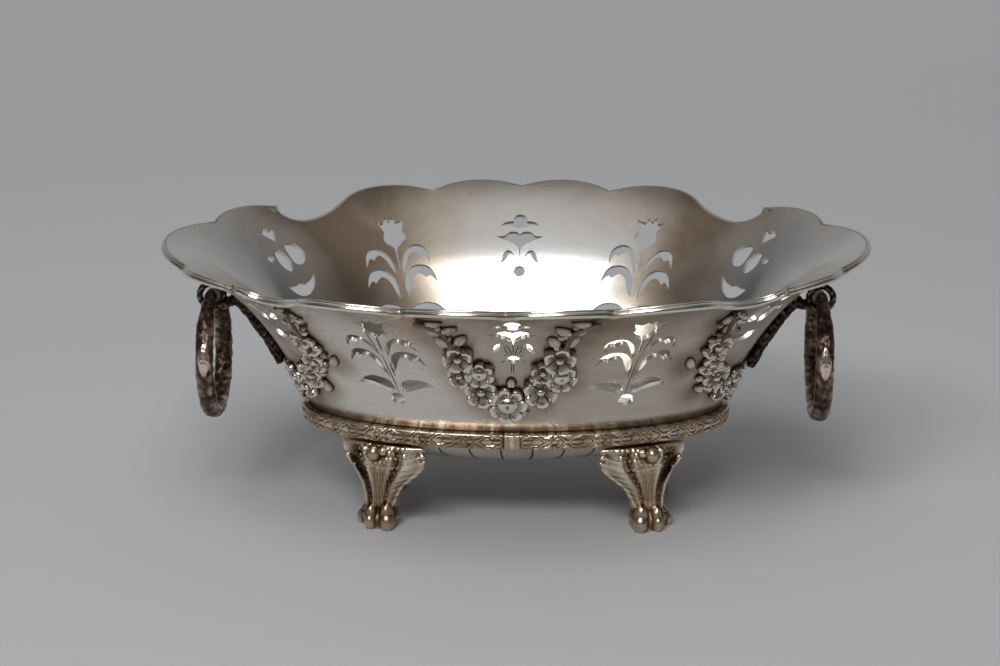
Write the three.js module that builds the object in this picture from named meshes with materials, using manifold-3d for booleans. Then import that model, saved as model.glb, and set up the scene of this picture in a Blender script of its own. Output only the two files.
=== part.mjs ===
// An oval pierced bonbon dish of silver: a flared bowl with a lobed, reeded rim, an applied laurel
// ring round its foot, four paw feet, four cast flower garlands, and at each end a twig bracket
// that carries a drop ring handle. Millimetres, +X along the dish, -Y to its front, +Z up, and the
// feet stand on z = 0. The origin lies on that plane under the middle of the bowl.

import * as THREE from "three";
import { mergeVertices } from "three/addons/utils/BufferGeometryUtils.js";
import Module from "manifold-3d";

const wasm = await Module();
wasm.setup();

// Clearance between pieces that touch, and how far a cutter runs past what it cuts
const seatGap = 0.3;
const cutOverrun = 1.5;

// Rim outline over its border
const rimHalfLength = 105;
const rimHalfWidth = 77.4;

// Bowl wall: half axes and heights at the seat, where the laurel ring goes round, and at the lip, an
// oval that lies a little inside the rim outline
const seatHalfLength = 61.2;
const seatHalfWidth = 27.2;
const seatHeight = 31.7;
const lipEndInset = 2;
const lipSideInset = 2.4;
const lipHalfLength = rimHalfLength - lipEndInset;
const lipHalfWidth = rimHalfWidth - lipSideInset;
const lipHeight = 83.4;
const sheetThickness = 1.2;
const bellyDepth = 13;

// Lean of the wall from upright, which grows from the seat to the lip
const seatLean = THREE.MathUtils.degToRad(25);
const lipLean = THREE.MathUtils.degToRad(70);
const leanGrowth = 1.5;
const profileReachShare = 1.2;
const profileSteps = 240;

// Steps for slopes on the wall and for finding a place on it
const probeShare = 0.01;
const solveSteps = 40;

// Mesh rows of the bowl, and sides of its applied work
const wallRows = 6;
const bellyRows = 3;
const ringSteps = 52;

// Corners between the lobes of the rim outline, as shares of its half length and half width
const rimCornerShares = {
  middleNotch: [0, 0.955],
  sideNotch: [0.276, 0.897],
  shoulder: [0.538, 0.788],
  dip: [0.671, 0.563],
  cornerNotch: [0.733, 0.607],
  endNotch: [0.9, 0.336],
};

// How far each rim arc bulges, as a share of its chord, and its number of steps
const rimArcs = {
  middleLobe: { bulgeShare: 0.184, steps: 5 },
  sideLobe: { bulgeShare: 0.17, steps: 5 },
  dipFall: { bulgeShare: -0.08, steps: 2 },
  dipRise: { bulgeShare: -0.12, steps: 2 },
  cornerLobe: { bulgeShare: 0.168, steps: 4 },
  endLobe: { bulgeShare: 0.202, steps: 8 },
};

// Border of two reeds soldered to the edge of the sheet
const borderWidth = 1.7;
const borderHeight = 2.7;
const borderRise = 0.25;
const borderSectionShares = [
  [0, 0], [0.75, 0.03], [0.85, 0.24], [0.6, 0.36], [1, 0.6], [0.75, 1], [0, 1],
];

// Laurel ring round the seat
const laurelHeight = 5.4;
const laurelDepth = 3.3;
const laurelSectionShares = [
  [0, -0.5], [0.7, -0.42], [1, -0.14], [1, 0.14], [0.7, 0.42], [0, 0.5],
];
const tieLength = 4.2;
const tieRise = 0.35;

// Feet: place round the ring, how far the paw is tucked in under the dish, how far the wings lie to
// its inner side, and stations of the leg as
// [height share, tuck share, half width share, half depth share, wing shift share]
const footAngle = THREE.MathUtils.degToRad(50);
const footTuck = 8;
const footWingShift = 2.4;
const footHalfWidth = 13.4;
const footHalfDepth = 5.2;
const footSides = 10;
const footStationShares = [
  [0, 1, 0.4, 0.95, 0],
  [0.12, 1, 0.46, 1, 0],
  [0.2, 1.06, 0.36, 0.72, 0.2],
  [0.34, 0.98, 0.39, 0.7, 0.45],
  [0.5, 0.72, 0.5, 0.78, 0.7],
  [0.62, 0.48, 0.7, 0.8, 0.9],
  [0.755, 0.27, 0.95, 0.74, 1],
  [0.86, 0.16, 1, 0.58, 1],
  [0.985, 0.12, 0.97, 0.42, 1],
];
const toeSpread = 4.2;
const toeReach = 3.1;
const toeLead = 1.5;
const toeSize = { outward: 2.9, sideways: 2.2, upward: 2.4 };
const toeSink = 0.85;
const kneeBossRadius = 2.9;
const kneeBossHeightShare = 0.91;
const kneeBossTuckShare = 0.12;
const kneeBossReach = 3.4;
const kneeBossShiftShare = 0.3;

// Garlands: the stem that joins their parts, and the lift of each kind of part over its seat
const stemRadius = 0.8;
const stemSides = 5;
const stemLift = 0.15;
const berryLift = 0.12;
const leafLift = 0.06;

// Size that the shares of the garlands' parts follow, and the relief of flowers and leaves
const flowerRadius = 5;
const reliefHeight = 2.9;
const flowerPetals = 5;
const petalDipShare = 0.76;
const flowerFootShare = 0.94;
const flowerShoulderShares = { plan: 0.96, height: 0.62 };
const flowerCrownShare = 0.86;
const leafPlanShares = [[0, 1], [-0.4, -0.1], [0, -1], [0.4, -0.1]];
const leafShoulderShares = { plan: 0.9, height: 0.37 };
const leafCrownShare = 0.8;

// A berry's foot, belly and shoulder, as shares of its radius
const berrySides = 6;
const berryFootShare = 0.85;
const berryBellyShares = { plan: 1, height: 0.45 };
const berryShoulderShares = { plan: 0.68, height: 0.86 };

// Handle rings: how far down from the lip and out from the wall they are hung
const handleDrop = 16.4;
const handleStandOff = 9.89;
const handleRadius = 17.7;
const handleTopRadius = 2;
const handleLeafHalfWidth = 2.45;
const handleLeafHalfDepth = 2.2;
const handleSteps = 28;
const handleSides = 8;
const handlePlainShare = 0.12;
const handleLeafShare = 0.3;

// Twig brackets and the eyes that hold the rings
const twigRadius = 1.7;
const armRadius = 1.7;
const eyeWireRadius = 1.2;
const eyeClearance = 0.4;
const eyeSteps = 18;
const eyeSides = 6;
const twigSides = 8;
const twigStartShare = 0.234;
const twigEndShare = 0.6;
const twigSteps = 6;
const armDrop = 1.9;
const armBendShare = 0.25;
const twigLeafLength = 7;
const twigLeafWidth = 3;
const twigLeafLie = THREE.MathUtils.degToRad(28);
const twigLeafSeatShare = 0.5;
const twigLeafShares = [{ rise: 0.45, side: -1 }, { rise: 0.75, side: 1 }];
const twigLeafRimShare = 0.9;

// Pierced ornament: angle of each motif from the dish's long axis, then their half width, height and
// foot as shares of the wall's length from seat to lip. The plants at the front are a little lower,
// and the sprig at the front stands a little to the right.
const frontPlantAngle = THREE.MathUtils.degToRad(61.5);
const backPlantAngle = THREE.MathUtils.degToRad(60.7);
const sprigAngle = THREE.MathUtils.degToRad(90);
const frontSprigTurn = THREE.MathUtils.degToRad(0.8);
const endAngle = THREE.MathUtils.degToRad(31.4);
const frontPlantShares = { halfWidth: 0.168, height: 0.6, foot: 0.168 };
const backPlantShares = { halfWidth: 0.168, height: 0.628, foot: 0.168 };
const sprigShares = { halfWidth: 0.108, height: 0.4, foot: 0.463 };
const endShares = { halfWidth: 0.101, height: 0.368, foot: 0.461 };

// Outlines of the plant as shares of its half width and height, on its positive side
const plantRoundShare = { centre: [0, 0.049], radius: 0.05 };
const plantLeafShares = [
  [[0.05, 0.12], [0.22, 0.1], [0.72, 0.18], [0.95, 0.18], [0.88, 0.24], [0.5, 0.25], [0.14, 0.22]],
  [[0.17, 0.3], [0.13, 0.42], [0.4, 0.545], [0.78, 0.545], [1, 0.42], [0.72, 0.44], [0.5, 0.49], [0.3, 0.44]],
  [[0.09, 0.5], [0.1, 0.6], [0.3, 0.7], [0.6, 0.735], [0.87, 0.66], [0.86, 0.56], [0.62, 0.63], [0.38, 0.65]],
];
const plantTulipShares = [
  [-0.08, 0.73], [0.14, 0.79], [0.02, 0.87], [0.2, 0.97], [-0.03, 0.95], [-0.1, 1],
  [-0.2, 0.95], [-0.36, 0.98], [-0.52, 0.965], [-0.36, 0.87], [-0.26, 0.78],
];

// Outlines of the sprig inside the front and back garlands
const sprigRoundShare = { centre: [0, 0.065], radius: 0.062 };
const sprigLeafShares = [
  [[0.22, 0.2], [0.26, 0.35], [0.5, 0.385], [0.72, 0.3], [0.9, 0.2], [0.6, 0.27], [0.4, 0.33]],
];
const sprigPalmetteShares = [[0, 0.39], [0.2, 0.49], [0.55, 0.55], [1, 0.585], [0.42, 0.66], [0, 0.68]];
const sprigBudShares = [[0, 0.74], [0.6, 0.87], [0.62, 0.93], [0.25, 0.93], [0, 1]];

// Outlines of the motif on each side of the end brackets
const endCrescentShares = [[0, 0], [0.72, 0.14], [1, 0.11], [0.62, 0.25], [0, 0.18]];
const endLeafShares = [[0.12, 0.66], [0.5, 0.73], [0.94, 0.58], [0.86, 0.44], [0.5, 0.4], [0.18, 0.5]];
const endCrownShares = [[0, 0.79], [0.38, 0.985], [0.14, 0.93], [0, 1]];
const roundHoleSides = 8;

// Garland parts from the lowest up: kind, degrees round from the garland's middle, rise as a share of
// the wall's length, and half size as a share of the flower radius. Every part off the middle is
// repeated on the other side.
const sideGarlandShares = {
  middle: [
    { kind: "flower", turn: 0, rise: 0.217, size: 1.18 },
    { kind: "berry", turn: 0, rise: 0.217, size: 0.74 },
  ],
  half: [
    { kind: "flower", turn: 6.6, rise: 0.306, size: 0.98 },
    { kind: "berry", turn: 6.8, rise: 0.416, size: 0.6 },
    { kind: "flower", turn: 11.4, rise: 0.411, size: 0.74 },
    { kind: "flower", turn: 10.6, rise: 0.517, size: 0.84 },
    { kind: "leaf", turn: 12.2, rise: 0.609, size: 0.8, lie: -12 },
    { kind: "leaf", turn: 10.4, rise: 0.663, size: 0.8, lie: 14 },
    { kind: "leaf", turn: 11.2, rise: 0.737, size: 0.84, lie: -14 },
    { kind: "leaf", turn: 14.2, rise: 0.808, size: 0.84, lie: -40 },
  ],
};
const endGarlandShares = {
  middle: [{ kind: "berry", turn: 0, rise: 0.126, size: 0.64 }],
  half: [
    { kind: "flower", turn: 9, rise: 0.167, size: 0.88 },
    { kind: "berry", turn: 19.5, rise: 0.183, size: 0.64 },
    { kind: "flower", turn: 30, rise: 0.245, size: 0.96 },
    { kind: "berry", turn: 37.6, rise: 0.351, size: 0.64 },
    { kind: "flower", turn: 40, rise: 0.471, size: 0.92 },
    { kind: "leaf", turn: 41.4, rise: 0.613, size: 0.88, lie: 8 },
    { kind: "leaf", turn: 44.5, rise: 0.711, size: 0.84, lie: -14 },
  ],
};

// Finishes
const silver = { color: 0x9a938a, roughness: 0.32, metalness: 1 };
const rimSilver = { color: 0xa89f92, roughness: 0.28, metalness: 1 };
const roseSilver = { color: 0x9b8172, roughness: 0.36, metalness: 1 };
const reliefSilver = { color: 0x857c72, roughness: 0.38, metalness: 1 };
const darkSilver = { color: 0x4c403a, roughness: 0.45, metalness: 1 };

// Wall profile: the lean is stepped from the seat, then both runs are scaled to the lip
function traceProfile() {
  const rows = [{ share: 0, out: 0, up: 0 }];
  for (let step = 1; step <= profileSteps; step += 1) {
    const share = (profileReachShare * step) / profileSteps;
    const middle = share - profileReachShare / (2 * profileSteps);
    const lean = seatLean + (lipLean - seatLean) * middle ** leanGrowth;
    const last = rows[rows.length - 1];
    const run = share - last.share;
    rows.push({ share, out: last.out + run * Math.sin(lean), up: last.up + run * Math.cos(lean) });
  }
  return rows;
}

function readRow(rows, key, value, wanted) {
  let first = 0;
  let last = rows.length - 1;
  while (last - first > 1) {
    const middle = Math.floor((first + last) / 2);
    if (rows[middle][key] > value) {
      last = middle;
    } else {
      first = middle;
    }
  }
  const low = rows[first];
  const high = rows[last];
  const mix = (value - low[key]) / (high[key] - low[key]);
  return low[wanted] + mix * (high[wanted] - low[wanted]);
}

const profile = traceProfile();
const lipOut = readRow(profile, "share", 1, "out");
const lipUp = readRow(profile, "share", 1, "up");
for (const row of profile) {
  row.out /= lipOut;
  row.up /= lipUp;
}

// Half axes of the bowl's outside at a share of the way out from seat to lip
function halfAxesOut(out) {
  return {
    along: seatHalfLength + (lipHalfLength - seatHalfLength) * out,
    across: seatHalfWidth + (lipHalfWidth - seatHalfWidth) * out,
  };
}

// Half axes of the bowl's outside at a height, on the wall or on the belly under it
function halfAxesAt(height) {
  if (height >= seatHeight) {
    const up = (height - seatHeight) / (lipHeight - seatHeight);
    return halfAxesOut(readRow(profile, "up", up, "out"));
  }
  const drop = Math.min((seatHeight - height) / bellyDepth, 1);
  const shrink = Math.sqrt(1 - drop * drop);
  return { along: seatHalfLength * shrink, across: seatHalfWidth * shrink };
}

// A point of the wall's outside, at an angle round and a share of the way up
function wallPoint(angle, share) {
  const axes = halfAxesOut(readRow(profile, "share", share, "out"));
  const up = readRow(profile, "share", share, "up");
  return new THREE.Vector3(
    axes.along * Math.cos(angle),
    axes.across * Math.sin(angle),
    seatHeight + (lipHeight - seatHeight) * up,
  );
}

// Where the handles turn
const handlePivotHeight = lipHeight - handleDrop;
const handleReach = halfAxesAt(handlePivotHeight).along + handleStandOff;

// Axes on the wall at a place: round it, up it, and out of it
function wallFrame(angle, share) {
  const origin = wallPoint(angle, share);
  const round = wallPoint(angle + probeShare, share).sub(wallPoint(angle - probeShare, share));
  const up = wallPoint(angle, share + probeShare).sub(wallPoint(angle, share - probeShare));
  const perRadian = round.length() / (2 * probeShare);
  round.normalize();
  up.normalize();
  const out = new THREE.Vector3().crossVectors(round, up).normalize();
  return { origin, round, up, out, perRadian };
}

// Length of the wall measured up it from the seat to the lip, at an angle
const knownLengths = new Map();
function wallLength(angle) {
  if (!knownLengths.has(angle)) {
    const stops = Math.round(1 / probeShare);
    let length = 0;
    for (let step = 0; step < stops; step += 1) {
      length += wallPoint(angle, step / stops).distanceTo(wallPoint(angle, (step + 1) / stops));
    }
    knownLengths.set(angle, length);
  }
  return knownLengths.get(angle);
}

// Place on the wall, from a distance round and a distance up, with an offset outward
function wallPlace(angle, round, up, offset) {
  const share = up / wallLength(angle);
  const turn = angle + round / wallFrame(angle, share).perRadian;
  const frame = wallFrame(turn, share);
  return frame.origin.addScaledVector(frame.out, offset);
}

// Points of a circular arc between two points that bulges to the right of the way from one to the next
function arcPoints(from, to, bulgeShare, steps) {
  const chord = to.clone().sub(from);
  const half = chord.length() / 2;
  const rise = Math.abs(bulgeShare) * chord.length();
  const radius = (half * half + rise * rise) / (2 * rise);
  const sweep = Math.asin(half / radius);
  const along = chord.clone().normalize();
  const side = new THREE.Vector2(along.y, -along.x).multiplyScalar(Math.sign(bulgeShare));
  const points = [];
  for (let step = 0; step < steps; step += 1) {
    const angle = sweep * ((2 * step) / steps - 1);
    const point = from.clone();
    point.addScaledVector(along, half + radius * Math.sin(angle));
    point.addScaledVector(side, radius * Math.cos(angle) - (radius - rise));
    points.push(point);
  }
  return points;
}

// The whole rim outline, anticlockwise from the notch at the front of the right end
function rimOutline() {
  const corner = (name, alongSign, acrossSign) => {
    const [along, across] = rimCornerShares[name];
    return new THREE.Vector2(alongSign * along * rimHalfLength, acrossSign * across * rimHalfWidth);
  };
  const names = ["endNotch", "cornerNotch", "dip", "shoulder", "sideNotch", "middleNotch"];
  const arcs = ["cornerLobe", "dipRise", "dipFall", "sideLobe", "middleLobe"];
  const legs = [];
  const addQuarter = (alongSign, acrossSign, forward) => {
    const order = forward ? names : [...names].reverse();
    const kinds = forward ? arcs : [...arcs].reverse();
    const corners = order.map((name) => corner(name, alongSign, acrossSign));
    kinds.forEach((kind, index) => legs.push([corners[index], corners[index + 1], kind]));
  };
  legs.push([corner("endNotch", 1, -1), corner("endNotch", 1, 1), "endLobe"]);
  addQuarter(1, 1, true);
  addQuarter(-1, 1, false);
  legs.push([corner("endNotch", -1, 1), corner("endNotch", -1, -1), "endLobe"]);
  addQuarter(-1, -1, true);
  addQuarter(1, -1, false);
  return legs.flatMap(([from, to, kind]) => {
    const { bulgeShare, steps } = rimArcs[kind];
    return arcPoints(from, to, bulgeShare, steps);
  });
}

// Outward directions of a closed plan outline at its points
function outlineNormals(points) {
  return points.map((point, index) => {
    const before = points[(index + points.length - 1) % points.length];
    const after = points[(index + 1) % points.length];
    const into = point.clone().sub(before).normalize();
    const onward = after.clone().sub(point).normalize();
    const along = into.add(onward).normalize();
    return new THREE.Vector2(along.y, -along.x);
  });
}

// The wall's angle and share at a point in plan, found by halving
function wallAtPlan(x, y) {
  let low = 0;
  let high = profile[profile.length - 1].out;
  for (let step = 0; step < solveSteps; step += 1) {
    const middle = (low + high) / 2;
    const axes = halfAxesOut(middle);
    if ((x / axes.along) ** 2 + (y / axes.across) ** 2 > 1) {
      low = middle;
    } else {
      high = middle;
    }
  }
  const axes = halfAxesOut(low);
  return { angle: Math.atan2(y / axes.across, x / axes.along), share: readRow(profile, "out", low, "share") };
}

// Faces of the band between two rings, one of which may have twice as many points as the other
function bandFaces(low, high) {
  const faces = [];
  const sides = Math.min(low.count, high.count);
  for (let side = 0; side < sides; side += 1) {
    const beside = (side + 1) % sides;
    const [a, b] = [low.start + side, low.start + beside];
    const [c, d] = [high.start + beside, high.start + side];
    if (low.count === high.count) {
      faces.push(a, b, c, a, c, d);
    } else if (high.count > low.count) {
      const [left, middle, right] = [2 * side, 2 * side + 1, 2 * beside].map((place) => high.start + place);
      faces.push(a, middle, left, a, b, middle, b, right, middle);
    } else {
      const [left, middle, right] = [2 * side, 2 * side + 1, 2 * beside].map((place) => low.start + place);
      faces.push(left, middle, d, middle, c, d, middle, right, c);
    }
  }
  return faces;
}

// A closed body from rings of points. Poles close its ends, and without them it closes on itself.
function ringBody(rings, poles) {
  const positions = [];
  const indices = [];
  const places = rings.map((ring) => {
    const start = positions.length / 3;
    ring.forEach((point) => positions.push(point.x, point.y, point.z));
    return { start, count: ring.length };
  });
  const bands = poles ? rings.length - 1 : rings.length;
  for (let row = 0; row < bands; row += 1) {
    indices.push(...bandFaces(places[row], places[(row + 1) % rings.length]));
  }
  if (poles) {
    const ends = [[poles[0], places[0], true], [poles[1], places[places.length - 1], false]];
    for (const [pole, { start, count }, reversed] of ends) {
      const tip = positions.length / 3;
      positions.push(pole.x, pole.y, pole.z);
      for (let side = 0; side < count; side += 1) {
        const edge = [start + side, start + ((side + 1) % count)];
        indices.push(tip, ...(reversed ? edge.reverse() : edge));
      }
    }
  }
  return faceOutward(positions, indices);
}

// Turns every triangle over where a body's faces point in
function faceOutward(positions, indices) {
  const point = (index) => new THREE.Vector3().fromArray(positions, index * 3);
  let volume = 0;
  for (let start = 0; start < indices.length; start += 3) {
    const [a, b, c] = [point(indices[start]), point(indices[start + 1]), point(indices[start + 2])];
    volume += a.dot(b.cross(c));
  }
  const faces = [];
  for (let start = 0; start < indices.length; start += 3) {
    const [a, b, c] = indices.slice(start, start + 3);
    faces.push(...(volume < 0 ? [a, c, b] : [a, b, c]));
  }
  const geometry = new THREE.BufferGeometry();
  geometry.setAttribute("position", new THREE.Float32BufferAttribute(positions, 3));
  geometry.setIndex(faces);
  return geometry;
}

// Solids for joins and cuts
function toSolid(geometry) {
  const bare = geometry.clone();
  bare.deleteAttribute("normal");
  bare.deleteAttribute("uv");
  const merged = mergeVertices(bare);
  return new wasm.Manifold(new wasm.Mesh({
    numProp: 3,
    vertProperties: new Float32Array(merged.attributes.position.array),
    triVerts: new Uint32Array(merged.index.array),
  }));
}

function toGeometry(solid) {
  const mesh = solid.getMesh();
  const geometry = new THREE.BufferGeometry();
  geometry.setAttribute("position", new THREE.Float32BufferAttribute(mesh.vertProperties, 3));
  geometry.setIndex(Array.from(mesh.triVerts));
  return geometry;
}

function joinAll(solids) {
  return solids.reduce((joined, solid) => joined.add(solid));
}

// Sections swept through stations, each an origin with two directions
function sweepRings(stations, section) {
  return stations.map(({ origin, across, up }) => section.map(([a, b]) => (
    origin.clone().addScaledVector(across, a).addScaledVector(up, b)
  )));
}

function roundSection(halfAcross, halfUp, sides) {
  return Array.from({ length: sides }, (_, side) => {
    const angle = (2 * Math.PI * side) / sides;
    return [halfAcross * Math.cos(angle), halfUp * Math.sin(angle)];
  });
}

// Rim outline with its directions, and the edge of the sheet just inside the border
const outline = rimOutline();
const outlineOut = outlineNormals(outline);
const sheetEdge = outline.map((point, index) => (
  wallAtPlan(
    point.x - outlineOut[index].x * (borderWidth + seatGap),
    point.y - outlineOut[index].y * (borderWidth + seatGap),
  )
));

// A point of the bowl's skin: rows rise from the belly's middle to the sheet's edge
function wallRow(column, row, offset) {
  const { angle, share } = sheetEdge[column];
  const rise = row / wallRows;
  const frame = wallFrame(angle, rise * (1 + (share - 1) * rise * rise));
  return frame.origin.addScaledVector(frame.out, offset);
}

function bellyRow(column, row, offset) {
  const { angle } = sheetEdge[column];
  const turn = (Math.PI / 2) * (row / bellyRows);
  const along = seatHalfLength + offset;
  const across = seatHalfWidth + offset;
  return new THREE.Vector3(
    along * Math.cos(angle) * Math.cos(turn),
    across * Math.sin(angle) * Math.cos(turn),
    seatHeight - (bellyDepth + offset) * Math.sin(turn),
  );
}

// Rings of one side of the sheet, from low on the belly up to the rim. Only the rim's ring takes
// every column, and the others take each second one.
function skinRings(offset) {
  const columns = sheetEdge.map((_, column) => column);
  const halfColumns = columns.filter((column) => column % 2 === 0);
  const rings = [];
  for (let row = bellyRows - 1; row > 0; row -= 1) {
    rings.push(halfColumns.map((column) => bellyRow(column, row, offset)));
  }
  for (let row = 0; row < wallRows; row += 1) {
    rings.push(halfColumns.map((column) => wallRow(column, row, offset)));
  }
  rings.push(columns.map((column) => wallRow(column, wallRows, offset)));
  return rings;
}

function bellyPole(offset) {
  return new THREE.Vector3(0, 0, seatHeight - bellyDepth - offset);
}

// Everything inside the bowl's outer skin, grown by an offset, to trim what is applied to it
function bowlEnvelope(offset) {
  const rings = skinRings(offset);
  const lid = new THREE.Vector3(0, 0, lipHeight);
  return toSolid(ringBody(rings, [bellyPole(offset), lid]));
}

// One hole through the sheet, from an outline of places on the wall
function holeCutter(angle, outlinePlaces) {
  const flatten = (places) => places.map(([round, up]) => new THREE.Vector2(round, up));
  const turned = THREE.ShapeUtils.isClockWise(flatten(outlinePlaces));
  const places = turned ? [...outlinePlaces].reverse() : outlinePlaces;
  const flat = flatten(places);
  const outer = places.map(([round, up]) => wallPlace(angle, round, up, cutOverrun));
  const inner = places.map(([round, up]) => wallPlace(angle, round, up, -sheetThickness - cutOverrun));
  const count = places.length;
  const positions = [...outer, ...inner].flatMap((point) => [point.x, point.y, point.z]);
  const indices = [];
  for (const [a, b, c] of THREE.ShapeUtils.triangulateShape(flat, [])) {
    indices.push(a, b, c, count + a, count + c, count + b);
  }
  for (let side = 0; side < count; side += 1) {
    const beside = (side + 1) % count;
    indices.push(side, count + side, count + beside, side, count + beside, beside);
  }
  return toSolid(faceOutward(positions, indices));
}

function mirrored(shares) {
  return shares.map(([x, y]) => [-x, y]);
}

// A whole outline from the half on its positive side, whose first and last points are on its middle
function wholeOutline(halfShares) {
  return [...halfShares, ...mirrored(halfShares.slice(1, -1)).reverse()];
}

function roundOutline({ centre, radius }, motifShares) {
  return Array.from({ length: roundHoleSides }, (_, side) => {
    const turn = (2 * Math.PI * side) / roundHoleSides;
    const widthShare = (radius * motifShares.height) / motifShares.halfWidth;
    return [centre[0] + widthShare * Math.cos(turn), centre[1] + radius * Math.sin(turn)];
  });
}

// All holes of one motif at an angle round the bowl; side -1 turns it over
function motifCutters(motifShares, outlines, angle, side) {
  const length = wallLength(angle);
  return outlines.map((shares) => holeCutter(angle, shares.map(([x, y]) => [
    side * x * motifShares.halfWidth * length,
    (motifShares.foot + y * motifShares.height) * length,
  ])));
}

function piercings() {
  const plant = (motifShares) => [
    roundOutline(plantRoundShare, motifShares),
    ...plantLeafShares,
    ...plantLeafShares.map(mirrored),
    plantTulipShares,
  ];
  const frontPlant = plant(frontPlantShares);
  const backPlant = plant(backPlantShares);
  const sprig = [
    roundOutline(sprigRoundShare, sprigShares),
    ...sprigLeafShares,
    ...sprigLeafShares.map(mirrored),
    wholeOutline(sprigPalmetteShares),
    wholeOutline(sprigBudShares),
  ];
  const end = [
    wholeOutline(endCrescentShares),
    endLeafShares,
    mirrored(endLeafShares),
    wholeOutline(endCrownShares),
  ];
  return [
    ...motifCutters(backPlantShares, backPlant, backPlantAngle, -1),
    ...motifCutters(backPlantShares, backPlant, Math.PI - backPlantAngle, 1),
    ...motifCutters(frontPlantShares, frontPlant, Math.PI + frontPlantAngle, -1),
    ...motifCutters(frontPlantShares, frontPlant, -frontPlantAngle, 1),
    ...motifCutters(sprigShares, sprig, sprigAngle, 1),
    ...motifCutters(sprigShares, sprig, frontSprigTurn - sprigAngle, 1),
    ...motifCutters(endShares, end, endAngle, 1),
    ...motifCutters(endShares, end, Math.PI - endAngle, 1),
    ...motifCutters(endShares, end, Math.PI + endAngle, 1),
    ...motifCutters(endShares, end, -endAngle, 1),
  ];
}

function bowlGeometry() {
  const outer = skinRings(0);
  const inner = skinRings(-sheetThickness).reverse();
  const sheet = toSolid(ringBody([...outer, ...inner], [bellyPole(0), bellyPole(-sheetThickness)]));
  return toGeometry(sheet.subtract(joinAll(piercings())));
}

// Border: its section hangs from the inside of the sheet's edge, outward along the wall
function borderGeometry() {
  const stations = outline.map((_, index) => {
    const { angle, share } = sheetEdge[index];
    const frame = wallFrame(angle, share);
    const plan = outlineOut[index];
    const across = new THREE.Vector3(plan.x, plan.y, 0);
    across.addScaledVector(frame.out, -across.dot(frame.out)).normalize();
    const origin = frame.origin.addScaledVector(across, seatGap);
    origin.addScaledVector(frame.out, -sheetThickness - borderRise);
    return { origin, across, up: frame.out };
  });
  const section = borderSectionShares.map(([a, b]) => [a * borderWidth, b * borderHeight]);
  return ringBody(sweepRings(stations, section));
}

// Level direction square to an oval at an angle round it
function ovalNormal(axes, angle) {
  return new THREE.Vector3(Math.cos(angle) / axes.along, Math.sin(angle) / axes.across, 0).normalize();
}

// A section that follows the bowl's outside at a gap; shares run out from it and up about the seat
function seatRing(depth, height, gap, sectionShares, angles) {
  return angles.map((angle) => sectionShares.map(([out, up]) => {
    const level = seatHeight + up * height;
    const axes = halfAxesAt(level);
    const point = new THREE.Vector3(axes.along * Math.cos(angle), axes.across * Math.sin(angle), level);
    return point.addScaledVector(ovalNormal(axes, angle), gap + out * depth);
  }));
}

function evenAngles(steps) {
  return Array.from({ length: steps }, (_, step) => (2 * Math.PI * step) / steps);
}

// Laurel ring, with a plain tie band over it at the front and at the back
function laurelGeometry() {
  const sections = seatRing(laurelDepth, laurelHeight, seatGap, laurelSectionShares, evenAngles(ringSteps));
  const ring = toSolid(ringBody(sections));
  const halfTie = tieLength / (2 * seatHalfLength);
  const grown = laurelSectionShares.map(([out, up]) => [out === 0 ? 0 : out + tieRise / laurelDepth, up]);
  const ties = [-Math.PI / 2, Math.PI / 2].map((middle) => {
    const ends = [middle - halfTie, middle + halfTie];
    const rings = seatRing(laurelDepth, laurelHeight + tieRise, seatGap, grown, ends);
    const centres = rings.map((points) => (
      points.reduce((sum, point) => sum.add(point), new THREE.Vector3()).divideScalar(points.length)
    ));
    return toSolid(ringBody(rings, centres));
  });
  return toGeometry(joinAll([ring, ...ties]));
}

// What a foot must leave free: the bowl and the ring, both grown by the gap
function laurelEnvelope() {
  const grown = laurelSectionShares.map(([out, up]) => [out === 0 ? -1 : out + seatGap / laurelDepth, up]);
  return toSolid(ringBody(
    seatRing(laurelDepth, laurelHeight + 2 * seatGap, seatGap, grown, evenAngles(ringSteps)),
  ));
}

function squashedBall(centre, halfSizes, axes) {
  const ball = new THREE.IcosahedronGeometry(1, 1);
  const placed = new THREE.Matrix4().makeBasis(
    axes[0].clone().multiplyScalar(halfSizes[0]),
    axes[1].clone().multiplyScalar(halfSizes[1]),
    axes[2].clone().multiplyScalar(halfSizes[2]),
  );
  placed.setPosition(centre);
  ball.applyMatrix4(placed);
  return toSolid(ball);
}

// Everything under the standing plane, to cut the paws flat
function underFloor() {
  const span = 2 * lipHalfLength;
  const block = new THREE.BoxGeometry(span, span, footHalfWidth);
  block.translate(0, 0, -footHalfWidth / 2);
  return toSolid(block);
}

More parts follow.
